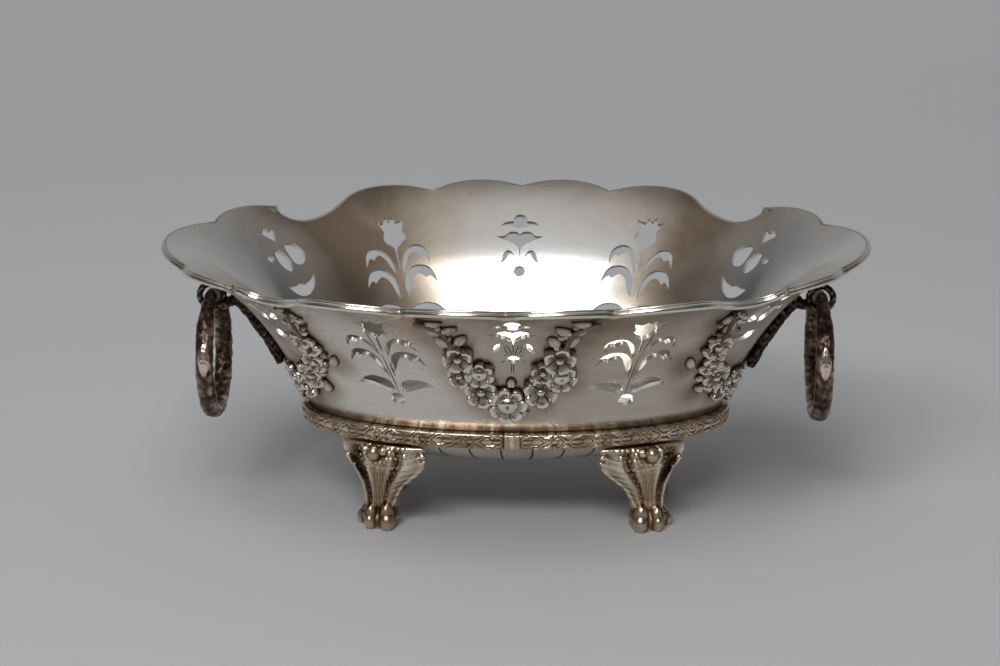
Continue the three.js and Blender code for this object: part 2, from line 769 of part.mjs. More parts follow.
// A paw foot under the ring: a leg that spreads into wings, three toes and a boss on its knee
function footGeometry(alongSign, acrossSign) {
  const angle = Math.atan2(acrossSign * Math.sin(footAngle), alongSign * Math.cos(footAngle));
  const axes = halfAxesAt(seatHeight);
  const outward = ovalNormal(axes, angle);
  const sideways = new THREE.Vector3(-outward.y, outward.x, 0);
  const upward = new THREE.Vector3(0, 0, 1);
  const inward = new THREE.Vector3(0, -acrossSign, 0);
  const root = new THREE.Vector3(axes.along * Math.cos(angle), axes.across * Math.sin(angle), 0);
  root.addScaledVector(outward, seatGap + laurelDepth / 2);
  const legHeight = seatHeight - laurelHeight / 2;
  const at = (side, reach, upShare, tuckShare) => {
    const point = root.clone().addScaledVector(sideways, side).addScaledVector(outward, reach);
    return point.addScaledVector(inward, tuckShare * footTuck).addScaledVector(upward, upShare * legHeight);
  };
  const wingShift = alongSign * acrossSign * footWingShift;
  const rings = footStationShares.map(([up, tuck, wide, deep, shift]) => (
    roundSection(wide * footHalfWidth, deep * footHalfDepth, footSides).map(([side, reach]) => (
      at(side + shift * wingShift, reach, up, tuck)
    ))
  ));
  const sole = footStationShares[0];
  const crown = footStationShares[footStationShares.length - 1];
  const leg = toSolid(ringBody(rings, [at(0, 0, sole[0], sole[1]), at(wingShift, 0, crown[0], crown[1])]));
  const frame = [outward, sideways, upward];
  const toeSizes = [toeSize.outward, toeSize.sideways, toeSize.upward];
  const toes = [-1, 0, 1].map((side) => {
    const reach = toeReach + (side === 0 ? toeLead : 0);
    const centre = at(side * toeSpread, reach, toeSize.upward * toeSink / legHeight, sole[1]);
    return squashedBall(centre, toeSizes, frame);
  });
  const bossSizes = [kneeBossRadius, kneeBossRadius, kneeBossRadius];
  const bossSide = kneeBossShiftShare * wingShift;
  const bossCentre = at(bossSide, kneeBossReach, kneeBossHeightShare, kneeBossTuckShare);
  const boss = squashedBall(bossCentre, bossSizes, frame);
  const whole = joinAll([leg, ...toes, boss]);
  return toGeometry(whole.subtract(underFloor()).subtract(bowlEnvelope(seatGap)).subtract(laurelEnvelope()));
}

// Relief parts that stand off the wall at a place: rings from its surface up to a crown
function reliefPart(angle, up, plan, levels, crown) {
  const rings = levels.map(([scale, offset]) => (
    plan.map(([x, y]) => wallPlace(angle, scale * x, up + scale * y, seatGap + offset))
  ));
  return toSolid(ringBody(rings, [
    wallPlace(angle, 0, up, seatGap + levels[0][1]),
    wallPlace(angle, 0, up, seatGap + crown),
  ]));
}

function flowerPlan(radius) {
  const corners = 2 * flowerPetals;
  return Array.from({ length: corners }, (_, corner) => {
    const reach = radius * (corner % 2 ? petalDipShare : 1);
    const turn = (2 * Math.PI * corner) / corners + Math.PI / 2;
    return [reach * Math.cos(turn), reach * Math.sin(turn)];
  });
}

function leafPlan(length, width, lie) {
  return leafPlanShares.map(([x, y]) => [
    x * width * Math.cos(lie) - y * length * Math.sin(lie),
    x * width * Math.sin(lie) + y * length * Math.cos(lie),
  ]);
}

function garlandPart(middleAngle, part, side) {
  const angle = middleAngle + side * THREE.MathUtils.degToRad(part.turn);
  const height = part.rise * wallLength(angle);
  const size = part.size * flowerRadius;
  if (part.kind === "berry") {
    const levels = [
      [berryFootShare, berryLift],
      [berryBellyShares.plan, berryBellyShares.height * size],
      [berryShoulderShares.plan, berryShoulderShares.height * size],
    ];
    return reliefPart(angle, height, roundSection(size, size, berrySides), levels, size);
  }
  if (part.kind === "leaf") {
    const shoulder = leafShoulderShares.height * reliefHeight;
    const levels = [[1, leafLift], [leafShoulderShares.plan, shoulder]];
    const plan = leafPlan(size, size, THREE.MathUtils.degToRad(-side * part.lie));
    return reliefPart(angle, height, plan, levels, leafCrownShare * reliefHeight);
  }
  const shoulder = flowerShoulderShares.height * reliefHeight;
  const levels = [[flowerFootShare, 0], [flowerShoulderShares.plan, shoulder]];
  return reliefPart(angle, height, flowerPlan(size), levels, flowerCrownShare * reliefHeight);
}

// The stem runs over the wall from one end of a garland to the other, through every part
function garlandStem(middleAngle, garland) {
  const lift = seatGap + stemLift + stemRadius;
  const half = garland.half.map(({ turn, rise }) => ({ turn: THREE.MathUtils.degToRad(turn), rise }));
  const middle = { turn: 0, rise: garland.middle[0].rise };
  const places = [
    ...half.map(({ turn, rise }) => ({ turn: -turn, rise })).reverse(),
    middle,
    ...half,
  ];
  const frames = places.map(({ turn, rise }) => {
    const frame = wallFrame(middleAngle + turn, rise);
    return { origin: frame.origin.addScaledVector(frame.out, lift), out: frame.out };
  });
  const stations = frames.map(({ origin, out }, index) => {
    const before = frames[Math.max(index - 1, 0)].origin;
    const after = frames[Math.min(index + 1, frames.length - 1)].origin;
    const along = after.clone().sub(before).normalize();
    const across = new THREE.Vector3().crossVectors(along, out).normalize();
    return { origin, across, up: out };
  });
  const rings = sweepRings(stations, roundSection(stemRadius, stemRadius, stemSides));
  return toSolid(ringBody(rings, [frames[0].origin, frames[frames.length - 1].origin]));
}

function garlandGeometry(middleAngle, garland) {
  return toGeometry(joinAll([
    garlandStem(middleAngle, garland),
    ...garland.middle.map((part) => garlandPart(middleAngle, part, 1)),
    ...garland.half.flatMap((part) => [1, -1].map((side) => garlandPart(middleAngle, part, side))),
  ]));
}

// Twig bracket at one end: up the wall from the garland, out to the eye round the handle
function bracketGeometry(alongSign) {
  const angle = alongSign > 0 ? 0 : Math.PI;
  const across = new THREE.Vector3(0, 1, 0);
  const route = [];
  const twigHeight = (rise) => wallLength(angle) * (twigStartShare + (twigEndShare - twigStartShare) * rise);
  for (let step = 0; step <= twigSteps; step += 1) {
    const height = twigHeight(step / twigSteps);
    route.push({ point: wallPlace(angle, 0, height, seatGap + twigRadius), radius: twigRadius });
  }
  const pivot = new THREE.Vector3(alongSign * handleReach, 0, handlePivotHeight);
  const eyeRadius = handleTopRadius + eyeClearance + eyeWireRadius;
  const armEnd = pivot.clone().add(new THREE.Vector3(-alongSign * eyeRadius, 0, -armDrop));
  const twigTop = route[route.length - 1].point;
  const bend = new THREE.Vector3((twigTop.x + armEnd.x) / 2, 0, armEnd.z - armBendShare * armDrop);
  route.push({ point: bend, radius: armRadius }, { point: armEnd, radius: armRadius });
  const stations = route.map(({ point, radius }, index) => {
    const before = route[Math.max(index - 1, 0)].point;
    const after = route[Math.min(index + 1, route.length - 1)].point;
    const along = after.clone().sub(before).normalize();
    return { origin: point, across, up: new THREE.Vector3().crossVectors(along, across), radius };
  });
  const rings = stations.map((station) => (
    sweepRings([station], roundSection(station.radius, station.radius, twigSides))[0]
  ));
  const twig = toSolid(ringBody(rings, [route[0].point, armEnd]));
  const eye = new THREE.TorusGeometry(eyeRadius, eyeWireRadius, eyeSides, eyeSteps);
  eye.rotateX(Math.PI / 2);
  eye.translate(pivot.x, pivot.y, pivot.z);
  const leaves = twigLeafShares.map(({ rise, side }) => {
    const plan = leafPlan(twigLeafLength / 2, twigLeafWidth, -side * twigLeafLie);
    const height = twigHeight(rise);
    const seat = side * twigLeafWidth * twigLeafSeatShare;
    const turn = seat / wallFrame(angle, height / wallLength(angle)).perRadian;
    const levels = [[1, 0], [twigLeafRimShare, twigRadius]];
    return reliefPart(angle + turn, height, plan, levels, 2 * twigRadius);
  });
  return toGeometry(joinAll([twig, toSolid(eye), ...leaves]));
}

// Handle ring, hanging from the eye: plain at its top and swelling into a leafy lower part
function handleGeometry(alongSign) {
  const centre = new THREE.Vector3(alongSign * handleReach, 0, handlePivotHeight - handleRadius);
  const across = new THREE.Vector3(1, 0, 0);
  const rings = evenAngles(handleSteps).map((angle) => {
    const outward = new THREE.Vector3(0, Math.sin(angle), Math.cos(angle));
    const origin = centre.clone().addScaledVector(outward, handleRadius);
    const fromTop = Math.min(angle, 2 * Math.PI - angle) / Math.PI;
    const leafy = THREE.MathUtils.smoothstep(fromTop, handlePlainShare, handleLeafShare);
    const halfWide = handleTopRadius + (handleLeafHalfWidth - handleTopRadius) * leafy;
    const halfDeep = handleTopRadius + (handleLeafHalfDepth - handleTopRadius) * leafy;
    return sweepRings([{ origin, across, up: outward }], roundSection(halfWide, halfDeep, handleSides))[0];
  });
  return ringBody(rings);
}

function addPiece(group, name, geometry, finish) {
  const mesh = new THREE.Mesh(geometry, new THREE.MeshStandardMaterial(finish));
  mesh.name = name;
  group.add(mesh);
}

const dish = new THREE.Group();
addPiece(dish, "bowl", bowlGeometry(), silver);
addPiece(dish, "rim_border", borderGeometry(), rimSilver);
addPiece(dish, "laurel_ring", laurelGeometry(), roseSilver);
addPiece(dish, "foot_front_left", footGeometry(-1, -1), roseSilver);
addPiece(dish, "foot_front_right", footGeometry(1, -1), roseSilver);
addPiece(dish, "foot_back_left", footGeometry(-1, 1), roseSilver);
addPiece(dish, "foot_back_right", footGeometry(1, 1), roseSilver);
addPiece(dish, "garland_front", garlandGeometry(-Math.PI / 2, sideGarlandShares), reliefSilver);
addPiece(dish, "garland_back", garlandGeometry(Math.PI / 2, sideGarlandShares), reliefSilver);
addPiece(dish, "garland_left", garlandGeometry(Math.PI, endGarlandShares), reliefSilver);
addPiece(dish, "garland_right", garlandGeometry(0, endGarlandShares), reliefSilver);
addPiece(dish, "bracket_left", bracketGeometry(-1), darkSilver);
addPiece(dish, "bracket_right", bracketGeometry(1), darkSilver);
addPiece(dish, "handle_ring_left", handleGeometry(-1), darkSilver);
addPiece(dish, "handle_ring_right", handleGeometry(1), darkSilver);

export default dish;
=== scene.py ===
"""The looks of an oval pierced silver bonbon dish: bowl, border, base ring, feet, garlands and handles."""

import math

import bmesh
import bpy
import numpy as np
from mathutils import Matrix, Vector, geometry


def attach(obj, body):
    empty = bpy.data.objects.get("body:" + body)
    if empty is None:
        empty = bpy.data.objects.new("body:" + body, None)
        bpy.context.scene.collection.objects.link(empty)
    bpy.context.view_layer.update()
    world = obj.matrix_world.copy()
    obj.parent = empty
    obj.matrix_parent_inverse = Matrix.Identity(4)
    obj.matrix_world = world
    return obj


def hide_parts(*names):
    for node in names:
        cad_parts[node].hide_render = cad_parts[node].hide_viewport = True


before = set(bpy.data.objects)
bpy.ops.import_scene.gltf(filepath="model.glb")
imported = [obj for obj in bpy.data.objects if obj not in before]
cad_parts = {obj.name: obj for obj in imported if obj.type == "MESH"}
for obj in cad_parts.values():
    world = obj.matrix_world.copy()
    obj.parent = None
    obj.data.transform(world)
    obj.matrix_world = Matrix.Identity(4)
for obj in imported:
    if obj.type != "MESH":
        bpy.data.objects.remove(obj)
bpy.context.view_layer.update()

# Lengths are in millimetres until a mesh is made
MILLIMETRE = 0.001
FULL_TURN = 2 * math.pi
RNG = np.random.default_rng(7)

# Bowl wall, as in the CAD: half axes and height at the seat and at the lip, and the length up the wall
SEAT = (61.2, 27.2, 31.7)
LIP = (103.0, 75.0, 83.4)
WALL = 71.5
SHEET = 1.2
BELLY_DEPTH = 13.0
GAP = 0.3

# Rim outline over its border
RIM = (105.0, 77.4)
BORDER_WIDTH = 1.7

# Laurel ring, and the length of one cell between the crossings of its ribbons
RING_HEIGHT = 5.4
RING_DEPTH = 3.3
RING_CELL = 7.3

# Handles
REACH = 91.0
PIVOT = 67.0
HANDLE_RADIUS = 17.7

# Degrees from upright to the wall at its seat, and how many more it gains up to its lip
SEAT_LEAN = 25
LEAN_GAIN = 45


def rise(value, start, span):
    """0 up to the start, 1 from a span after it on, and a straight slope between."""
    return np.clip((value - start) / span, 0, 1)


def fall(value, end, span):
    """1 up to a span before the end, 0 from the end on, and a straight slope between."""
    return np.clip((end - value) / span, 0, 1)


def hump(value, centre, width):
    """A bell curve of height 1."""
    return np.exp(-(((value - centre) / width) ** 2))


def unit(v):
    return v / np.maximum(np.linalg.norm(v, axis=-1, keepdims=True), 1e-12)


def turns(count):
    """So many angles, evenly round a full turn."""
    return np.linspace(0, FULL_TURN, count, endpoint=False)


# Profile of the wall: its lean grows from the seat to the lip
SHARES = np.linspace(0, 1.2, 481)
MIDDLES = (SHARES[1:] + SHARES[:-1]) / 2
LEANS = np.radians(SEAT_LEAN) + np.radians(LEAN_GAIN) * MIDDLES**1.5
OUTS = np.concatenate([[0], np.cumsum(np.sin(LEANS) * np.diff(SHARES))])
UPS = np.concatenate([[0], np.cumsum(np.cos(LEANS) * np.diff(SHARES))])
OUTS = OUTS / np.interp(1, SHARES, OUTS)
UPS = UPS / np.interp(1, SHARES, UPS)


def wall_axes(out):
    """Half axes of the wall at a share of its way out from the seat to the lip."""
    return [SEAT[i] + (LIP[i] - SEAT[i]) * out for i in (0, 1)]


def wall_point(angle, share):
    angle, share = np.broadcast_arrays(np.asarray(angle, float), np.asarray(share, float))
    along, wide = wall_axes(np.interp(share, SHARES, OUTS))
    up = SEAT[2] + (LIP[2] - SEAT[2]) * np.interp(share, SHARES, UPS) + np.minimum(share, 0) * WALL
    return np.stack([along * np.cos(angle), wide * np.sin(angle), up], -1)


def wall_frame(angle, share):
    """Points of the wall, the way straight out of it there, and the millimetres round it per radian."""
    step = 0.004
    across = wall_point(angle + step, share) - wall_point(angle - step, share)
    up = wall_point(angle, np.maximum(share, 0) + step) - wall_point(angle, np.maximum(share - step, 0))
    out = unit(np.cross(unit(across), unit(up)))
    return wall_point(angle, share), out, np.linalg.norm(across, axis=-1) / (2 * step)


LENGTH_ANGLES = np.linspace(0, FULL_TURN, 361)
LENGTHS = np.diff(wall_point(LENGTH_ANGLES[:, None], np.linspace(0, 1, 101)[None, :]), axis=1)
LENGTHS = np.linalg.norm(LENGTHS, axis=2).sum(1)


def wall_length(angle):
    return np.interp(np.mod(angle, FULL_TURN), LENGTH_ANGLES, LENGTHS)


def wall_spot(angle, across, up):
    """Angle and share of a place given in millimetres round the wall and up it."""
    share = np.asarray(up, float) / wall_length(angle)
    per_radian = wall_frame(angle, np.clip(share, 0, 1.1))[2]
    return angle + np.asarray(across, float) / per_radian, share


def wall_place(angle, across, up, offset):
    origin, out, _ = wall_frame(*wall_spot(angle, across, up))
    return origin + out * np.asarray(offset, float)[..., None]


# Mesh making


class Builder:
    """Gathers points, faces, a relief value at each point and a material number for each face."""

    def __init__(self):
        self.points = []
        self.relief = []
        self.faces = []
        self.slots = []
        self.count = 0

    def add(self, points, faces, relief=0.5, slot=0):
        points = np.asarray(points, float).reshape(-1, 3)
        self.points.append(points)
        self.relief.append(np.broadcast_to(np.asarray(relief, float).reshape(-1), len(points)))
        self.faces.extend((np.asarray(faces) + self.count).tolist())
        self.slots.extend([slot] * len(faces))
        self.count += len(points)

    def grid(self, points, relief=0.5, slot=0, loops=1):
        """A grid of points that runs round in no way, in one way (its columns) or in both."""
        rows, columns = points.shape[:2]
        index = np.arange(rows * columns).reshape(rows, columns)
        if loops == 2:
            index = np.vstack([index, index[:1]])
        if loops:
            index = np.hstack([index, index[:, :1]])
        faces = np.stack([index[:-1, :-1], index[:-1, 1:], index[1:, 1:], index[1:, :-1]], -1)
        self.add(points, faces.reshape(-1, 4), np.broadcast_to(relief, (rows, columns)), slot)

    def ends(self, rings, relief=0.5):
        """Closes a tube given as rings of points: a fan over each of its ends."""
        for ring in (rings[0], rings[-1]):
            count = len(ring)
            fan = [[count, i, (i + 1) % count] for i in range(count)]
            self.add(np.vstack([ring, ring.mean(0)]), fan, relief)

    def tube(self, path, radii, sides, relief=0.5, ups=None):
        path = np.asarray(path, float)
        radii = np.broadcast_to(radii, (len(path),))
        along = unit(np.gradient(path, axis=0))
        if ups is None:
            guide = np.array([0.0, 0, 1]) if abs(along[:, 2]).max() < 0.9 else np.array([0.0, 1, 0])
            if abs(along @ guide).max() > 0.95:
                guide = np.array([1.0, 0.1, 0])
            ups = np.broadcast_to(guide, path.shape)
        across = unit(np.cross(along, ups))
        ups = unit(np.cross(across, along))
        turn = turns(sides)[None, :, None]
        spokes = np.cos(turn) * across[:, None] + np.sin(turn) * ups[:, None]
        rings = path[:, None] + radii[:, None, None] * spokes
        self.grid(rings, relief)
        self.ends(rings, relief)

    def ball(self, centre, radii, axes, rows=12, columns=18):
        tilt = np.linspace(0.02, np.pi - 0.02, rows)[:, None]
        turn = turns(columns)
        local = np.stack(np.broadcast_arrays(
            np.sin(tilt) * np.cos(turn) * radii[0],
            np.sin(tilt) * np.sin(turn) * radii[1],
            np.cos(tilt) * radii[2],
        ), -1)
        points = local @ np.array(axes) + centre
        self.grid(points)
        self.ends(points)

    def fill(self, name, materials=(), sharp=180, weld=0.0):
        """Makes an object, whose edges stay sharp where they turn by more than so many degrees."""
        mesh = bpy.data.meshes.new(name)
        made = bpy.data.objects.new(name, mesh)
        bpy.context.scene.collection.objects.link(made)
        points = np.concatenate(self.points) * MILLIMETRE
        mesh.from_pydata(points.tolist(), [], self.faces)
        relief = mesh.attributes.new("relief", "FLOAT", "POINT")
        relief.data.foreach_set("value", np.concatenate(self.relief).astype(np.float32))
        for material in materials:
            mesh.materials.append(material)
        mesh.polygons.foreach_set("material_index", np.array(self.slots, np.int32))
        work = bmesh.new()
        work.from_mesh(mesh)
        if weld:
            bmesh.ops.remove_doubles(work, verts=work.verts, dist=weld * MILLIMETRE)
        bmesh.ops.recalc_face_normals(work, faces=work.faces)
        work.to_mesh(mesh)
        work.free()
        mesh.polygons.foreach_set("use_smooth", np.ones(len(mesh.polygons), bool))
        mesh.set_sharp_from_angle(angle=math.radians(sharp))
        mesh.update()
        return made


def finish_piece(piece, body, nodes):
    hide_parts(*nodes)
    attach(piece, body)


# Outlines of the pierced ornament


def smooth_outline(points):
    """Rounds an outline by cutting its corners, apart from those marked with a third value."""
    places = [np.array(p[:2], float) for p in points]
    fixed = [len(p) > 2 for p in points]
    for _ in range(3):
        next_places, next_fixed = [], []
        for i, place in enumerate(places):
            j = (i + 1) % len(places)
            after = places[j]
            next_places.append(place if fixed[i] else 0.75 * place + 0.25 * after)
            next_fixed.append(fixed[i])
            if not fixed[j]:
                next_places.append(0.25 * place + 0.75 * after)
                next_fixed.append(False)
        places, fixed = next_places, next_fixed
    return np.array(places)


def circle_outline(x, y, radius, count=20):
    turn = turns(count)
    return np.stack([x + radius * np.cos(turn), y + radius * np.sin(turn)], -1)


def outlines(*shapes):
    """Outlines of shapes: a circle is a tuple of its middle and radius, any other shape a list of points."""
    return [circle_outline(*s) if isinstance(s, tuple) else smooth_outline(s) for s in shapes]


def flipped(points):
    return [(-p[0], *p[1:]) for p in reversed(points)]


def whole(half):
    """A whole outline from its right half, whose first and last points are on the middle line."""
    return half + flipped(half[1:-1])


def reshaped(shapes, move):
    """The outlines after a move that gives new places across and up for old ones."""
    return [np.stack(move(*shape.T), -1) for shape in shapes]


# In millimetres round the wall and up it; a third value keeps a tip sharp
PLANT = outlines(
    (0.9, 14.3, 2.3),
    [(0.7, 17.6), (2.6, 16.7), (5.6, 18.2), (8.8, 19.6), (12, 19.9, 1), (10.4, 22.2), (7.4, 24), (4.4, 23.6),
     (2, 22.6), (0.9, 20.6)],
    [(-0.7, 17.5), (-2.2, 17.1), (-5.6, 18.8), (-8.6, 20.2), (-11.2, 20.5, 1), (-9.4, 22.8), (-6.4, 23.6),
     (-3.2, 23), (-1.2, 21)],
    [(1.8, 25, 1), (1.5, 29.5), (2.2, 34), (4.6, 37.2), (8, 37.6), (10.8, 35), (11.8, 30.4, 1), (9.8, 33.4),
     (8.6, 32, 1), (6.4, 34.6), (4, 32.8), (3, 29)],
    [(-0.7, 26, 1), (-0.6, 30), (-1.8, 34.6), (-4.8, 38), (-8.8, 38), (-10.8, 35.4), (-11.2, 30.8, 1),
     (-9.4, 34), (-8.1, 32.8, 1), (-6, 35), (-3.6, 33), (-2.4, 29)],
    [(1.1, 34.5, 1), (1.1, 38.5), (2, 42), (4.3, 45.2), (7.2, 45.6), (9.8, 43), (10.3, 38.4, 1), (8.6, 42),
     (7.2, 40.8, 1), (5.4, 43), (3.4, 41), (2.2, 37.6)],
    [(-1.3, 34.5, 1), (-1.5, 38.5), (-2.8, 42), (-5.6, 45.6), (-9, 46), (-11.4, 43), (-10.4, 38.3, 1),
     (-9.6, 42.2), (-8.1, 41.2, 1), (-6.3, 43.4), (-4.2, 41.4), (-2.6, 37.6)],
    [(-0.7, 45.2), (0.9, 46.2), (2, 48.2), (1.5, 50.2), (0.8, 51.4), (1.4, 53.4), (2.4, 57, 1), (0.8, 55.4),
     (-0.2, 55.6), (-0.9, 58.2, 1), (-2, 55.8), (-3.2, 57.8, 1), (-4, 55.6), (-5.2, 56), (-6.8, 56.8, 1),
     (-5.8, 53.4), (-4.7, 51.4), (-5.8, 49.8), (-5.2, 47.9), (-3.9, 47.4), (-3.1, 46), (-1.9, 45.3),
     (-1.2, 44), (-0.6, 36.6, 1), (-0.25, 36.6, 1), (-0.7, 43.6)],
)
SPRIG_LEAF = [(1.4, 39.8, 1), (2.1, 41.8), (3.2, 42.8), (4.4, 42.7), (5.4, 41.2), (5.5, 39.6), (6.4, 38.1, 1),
              (5, 38.6), (4, 40.2), (3.7, 41.4), (2.7, 41.7), (2, 41)]
SPRIG = outlines(
    (0, 35.3, 1.85),
    SPRIG_LEAF,
    flipped(SPRIG_LEAF),
    whole([(0, 40, 1), (0.25, 43.8), (1.5, 44.6), (2.3, 45.8), (2.9, 45.2, 1), (3.6, 46.2), (4.8, 46.4),
           (7.6, 48.1, 1), (5.6, 48), (4.6, 48.4), (3.6, 49.6), (1.9, 49.9), (0.5, 49.4), (0, 48.8, 1)]),
    whole([(0, 51.2), (1.6, 51.2), (2.9, 52.2), (4.6, 52.4), (6.4, 52.1, 1), (5, 53.7), (2.2, 54, 1),
           (2.3, 55), (1.5, 56.4), (0, 56.9)]),
)
END = outlines(
    whole([(0, 52.8, 1), (1.6, 55.2), (3.4, 58.6, 1), (1.5, 57.6), (0.5, 58.6), (0, 60.6, 1)]),
    [(-1, 43.8), (-3.2, 42.8), (-5.6, 44.4), (-6.9, 47.6), (-5.7, 50.8), (-3, 51.8), (-1.3, 50.2), (-1, 47)],
    [(-0.1, 44), (0.9, 41.4), (3, 41.8), (4.5, 45), (3.8, 48.8), (1.9, 50.4), (0.4, 48.8), (-0.3, 46)],
    (6.4, 47.5, 1.35, 14),
    [(-5.6, 39.8, 1), (-3.6, 35.4), (-0.8, 33.2), (1.6, 32.5), (4.6, 33.5), (6.7, 36.9, 1), (4.2, 36.8),
     (2.3, 36.7), (1, 37.5), (-0.7, 36.5), (-3.2, 37.5)],
)
PLANT_FOOT = 18.0
FRONT_HEIGHT = 0.92
FRONT_LEAN = 0.036
END_DROP = 0.9


def draw_in(across, up):
    """Draws what is over the plant's foot closer to it, and over towards its negative side."""
    up = np.where(up > PLANT_FOOT, PLANT_FOOT + FRONT_HEIGHT * (up - PLANT_FOOT), up)
    return across - FRONT_LEAN * (up - PLANT_FOOT), up


def raised(old_heights, new_heights):
    return lambda across, up: (across, np.interp(up, old_heights, new_heights))


FRONT_PLANT = reshaped(PLANT, draw_in)
BACK_PLANT = reshaped(PLANT, raised([12, 14.3, 24, 38, 58.2], [14.8, 17.1, 26, 38.2, 57.2]))
FRONT_SPRIG = reshaped(SPRIG, raised([30, 37, 44, 57], [29.6, 36.6, 45.2, 60.2]))
LOW_END = reshaped(END, lambda across, up: (across, up - END_DROP))

# Lines chased beside the piercing
PLANT_LINES = [
    [(0.2, 16.6), (0.1, 22), (0.2, 28), (0, 34)], [(0.7, 23.5), (1.0, 26), (1.6, 29)],
    [(-0.9, 24), (-0.8, 27), (-1.1, 30)], [(-2.6, 45), (-1.4, 41), (-0.7, 36)],
    [(0.4, 45), (0.6, 41), (0.4, 36)], [(4, 20.5), (7, 21.5), (10, 21)],
]
SPRIG_LINES = [
    [(0, 28), (0, 31), (0, 33)], [(-0.8, 28), (-0.6, 31), (-0.6, 33.2)],
    [(-0.5, 37.4), (-0.9, 40), (-1.6, 43)], [(0.5, 37.4), (0.9, 40), (1.6, 43)],
    [(0, 37.4), (0, 41), (0, 44)], [(-1, 37.2), (-1.9, 39), (-2.6, 41.4)],
    [(1, 37.2), (1.9, 39), (2.6, 41.4)], [(-2.4, 34.4), (-3.4, 33.6)], [(2.4, 34.4), (3.4, 33.6)],
    [(-1.9, 36.9), (-2.7, 37.4)], [(1.9, 36.9), (2.7, 37.4)],
]

# Every motif round the bowl: its outlines and lines, its angle in degrees, and 1 or -1 for the way it faces
MOTIFS = [
    (BACK_PLANT, PLANT_LINES, 60.7, -1), (BACK_PLANT, PLANT_LINES, 119.3, 1),
    (FRONT_PLANT, PLANT_LINES, 241.5, -1), (FRONT_PLANT, PLANT_LINES, 298.5, 1),
    (SPRIG, SPRIG_LINES, 90, 1), (FRONT_SPRIG, SPRIG_LINES, 270.8, 1),
    (LOW_END, (), 31.4, -1), (LOW_END, (), 148.6, 1), (LOW_END, (), 211.4, -1), (LOW_END, (), 328.6, 1),
]


# Rim outline: arcs between named corners, as in the CAD
CORNERS = {
    "middle": (0.0, 0.955),
    "side": (0.276, 0.897),
    "shoulder": (0.538, 0.788),
    "dip": (0.671, 0.563),
    "corner": (0.733, 0.607),
    "end": (0.9, 0.336),
}
BULGES = [("end", "corner", 0.168), ("corner", "dip", -0.3), ("dip", "shoulder", -0.08),
          ("shoulder", "side", 0.17), ("side", "middle", 0.184)]
END_BULGE = 0.202

# Corners of the outline that are rounded, with the length that the rounding reaches; the others are notches
SOFT_CORNERS = {"shoulder": 6.0, "dip": 4.5}
RIM_STEP = 0.7


def arc_points(start, stop, bulge, steps):
    chord = stop - start
    length = np.linalg.norm(chord)
    height = abs(bulge) * length
    radius = (length**2 / 4 + height**2) / (2 * height)
    sweep = math.asin(length / 2 / radius)
    along = chord / length
    side = np.array([along[1], -along[0]]) * np.sign(bulge)
    turn = sweep * (2 * np.arange(steps) / steps - 1)
    forward = length / 2 + radius * np.sin(turn)
    sideways = radius * np.cos(turn) - (radius - height)
    return start + forward[:, None] * along + sideways[:, None] * side


def rim_outline(every=1):
    """The rim in plan, fine points about 0.7 mm apart or each one of every so many, and its notches."""
    legs = []
    for sign in (1, -1):
        legs.append(("end", (sign, -sign), "end", (sign, sign), END_BULGE))
        legs += [(a, (sign, sign), b, (sign, sign), bulge) for a, b, bulge in BULGES]
        legs += [(b, (-sign, sign), a, (-sign, sign), bulge) for a, b, bulge in reversed(BULGES)]
    parts, notches, soft = [], [], []
    count = 0
    for name, signs, next_name, next_signs, bulge in legs:
        start = np.array(signs) * CORNERS[name] * RIM
        stop = np.array(next_signs) * CORNERS[next_name] * RIM
        steps = 3 * max(1, round(np.linalg.norm(stop - start) / (3 * RIM_STEP)))
        parts.append(arc_points(start, stop, bulge, steps))
        if name in SOFT_CORNERS:
            soft.append((count, SOFT_CORNERS[name]))
        else:
            notches.append(count)
        count += steps
    points = np.concatenate(parts)
    for rounds in range(60):
        mean = (np.roll(points, 1, 0) + np.roll(points, -1, 0)) / 2
        for place, reach in soft:
            if rounds < reach**2 / 2:
                half = int(reach / RIM_STEP)
                near = np.arange(place - half, place + half + 1) % count
                ease = np.cos(np.linspace(-np.pi / 2, np.pi / 2, 2 * half + 1))[:, None]
                points[near] = points[near] + 0.9 * ease * (mean[near] - points[near])
    return points[::every], [place // every for place in notches]


def outline_normals(points):
    into = unit(points - np.roll(points, 1, 0))
    onward = unit(np.roll(points, -1, 0) - points)
    along = unit(into + onward)
    return np.stack([along[:, 1], -along[:, 0]], -1)


def wall_at_plan(x, y):
    """Wall angles and shares of places in plan, by halving the way out again and again."""
    low, high = np.zeros_like(x), np.full_like(x, OUTS[-1])
    for _ in range(40):
        middle = (low + high) / 2
        along, wide = wall_axes(middle)
        outside = (x / along) ** 2 + (y / wide) ** 2 > 1
        low = np.where(outside, middle, low)
        high = np.where(outside, high, middle)
    along, wide = wall_axes(low)
    return np.arctan2(y / wide, x / along), np.interp(low, OUTS, SHARES)


def sheet_edge(outline):
    """Wall angles and shares of the sheet's edge beside the border, and the outline's normals."""
    normals = outline_normals(outline)
    return *wall_at_plan(*(outline - normals * (BORDER_WIDTH + GAP)).T), normals


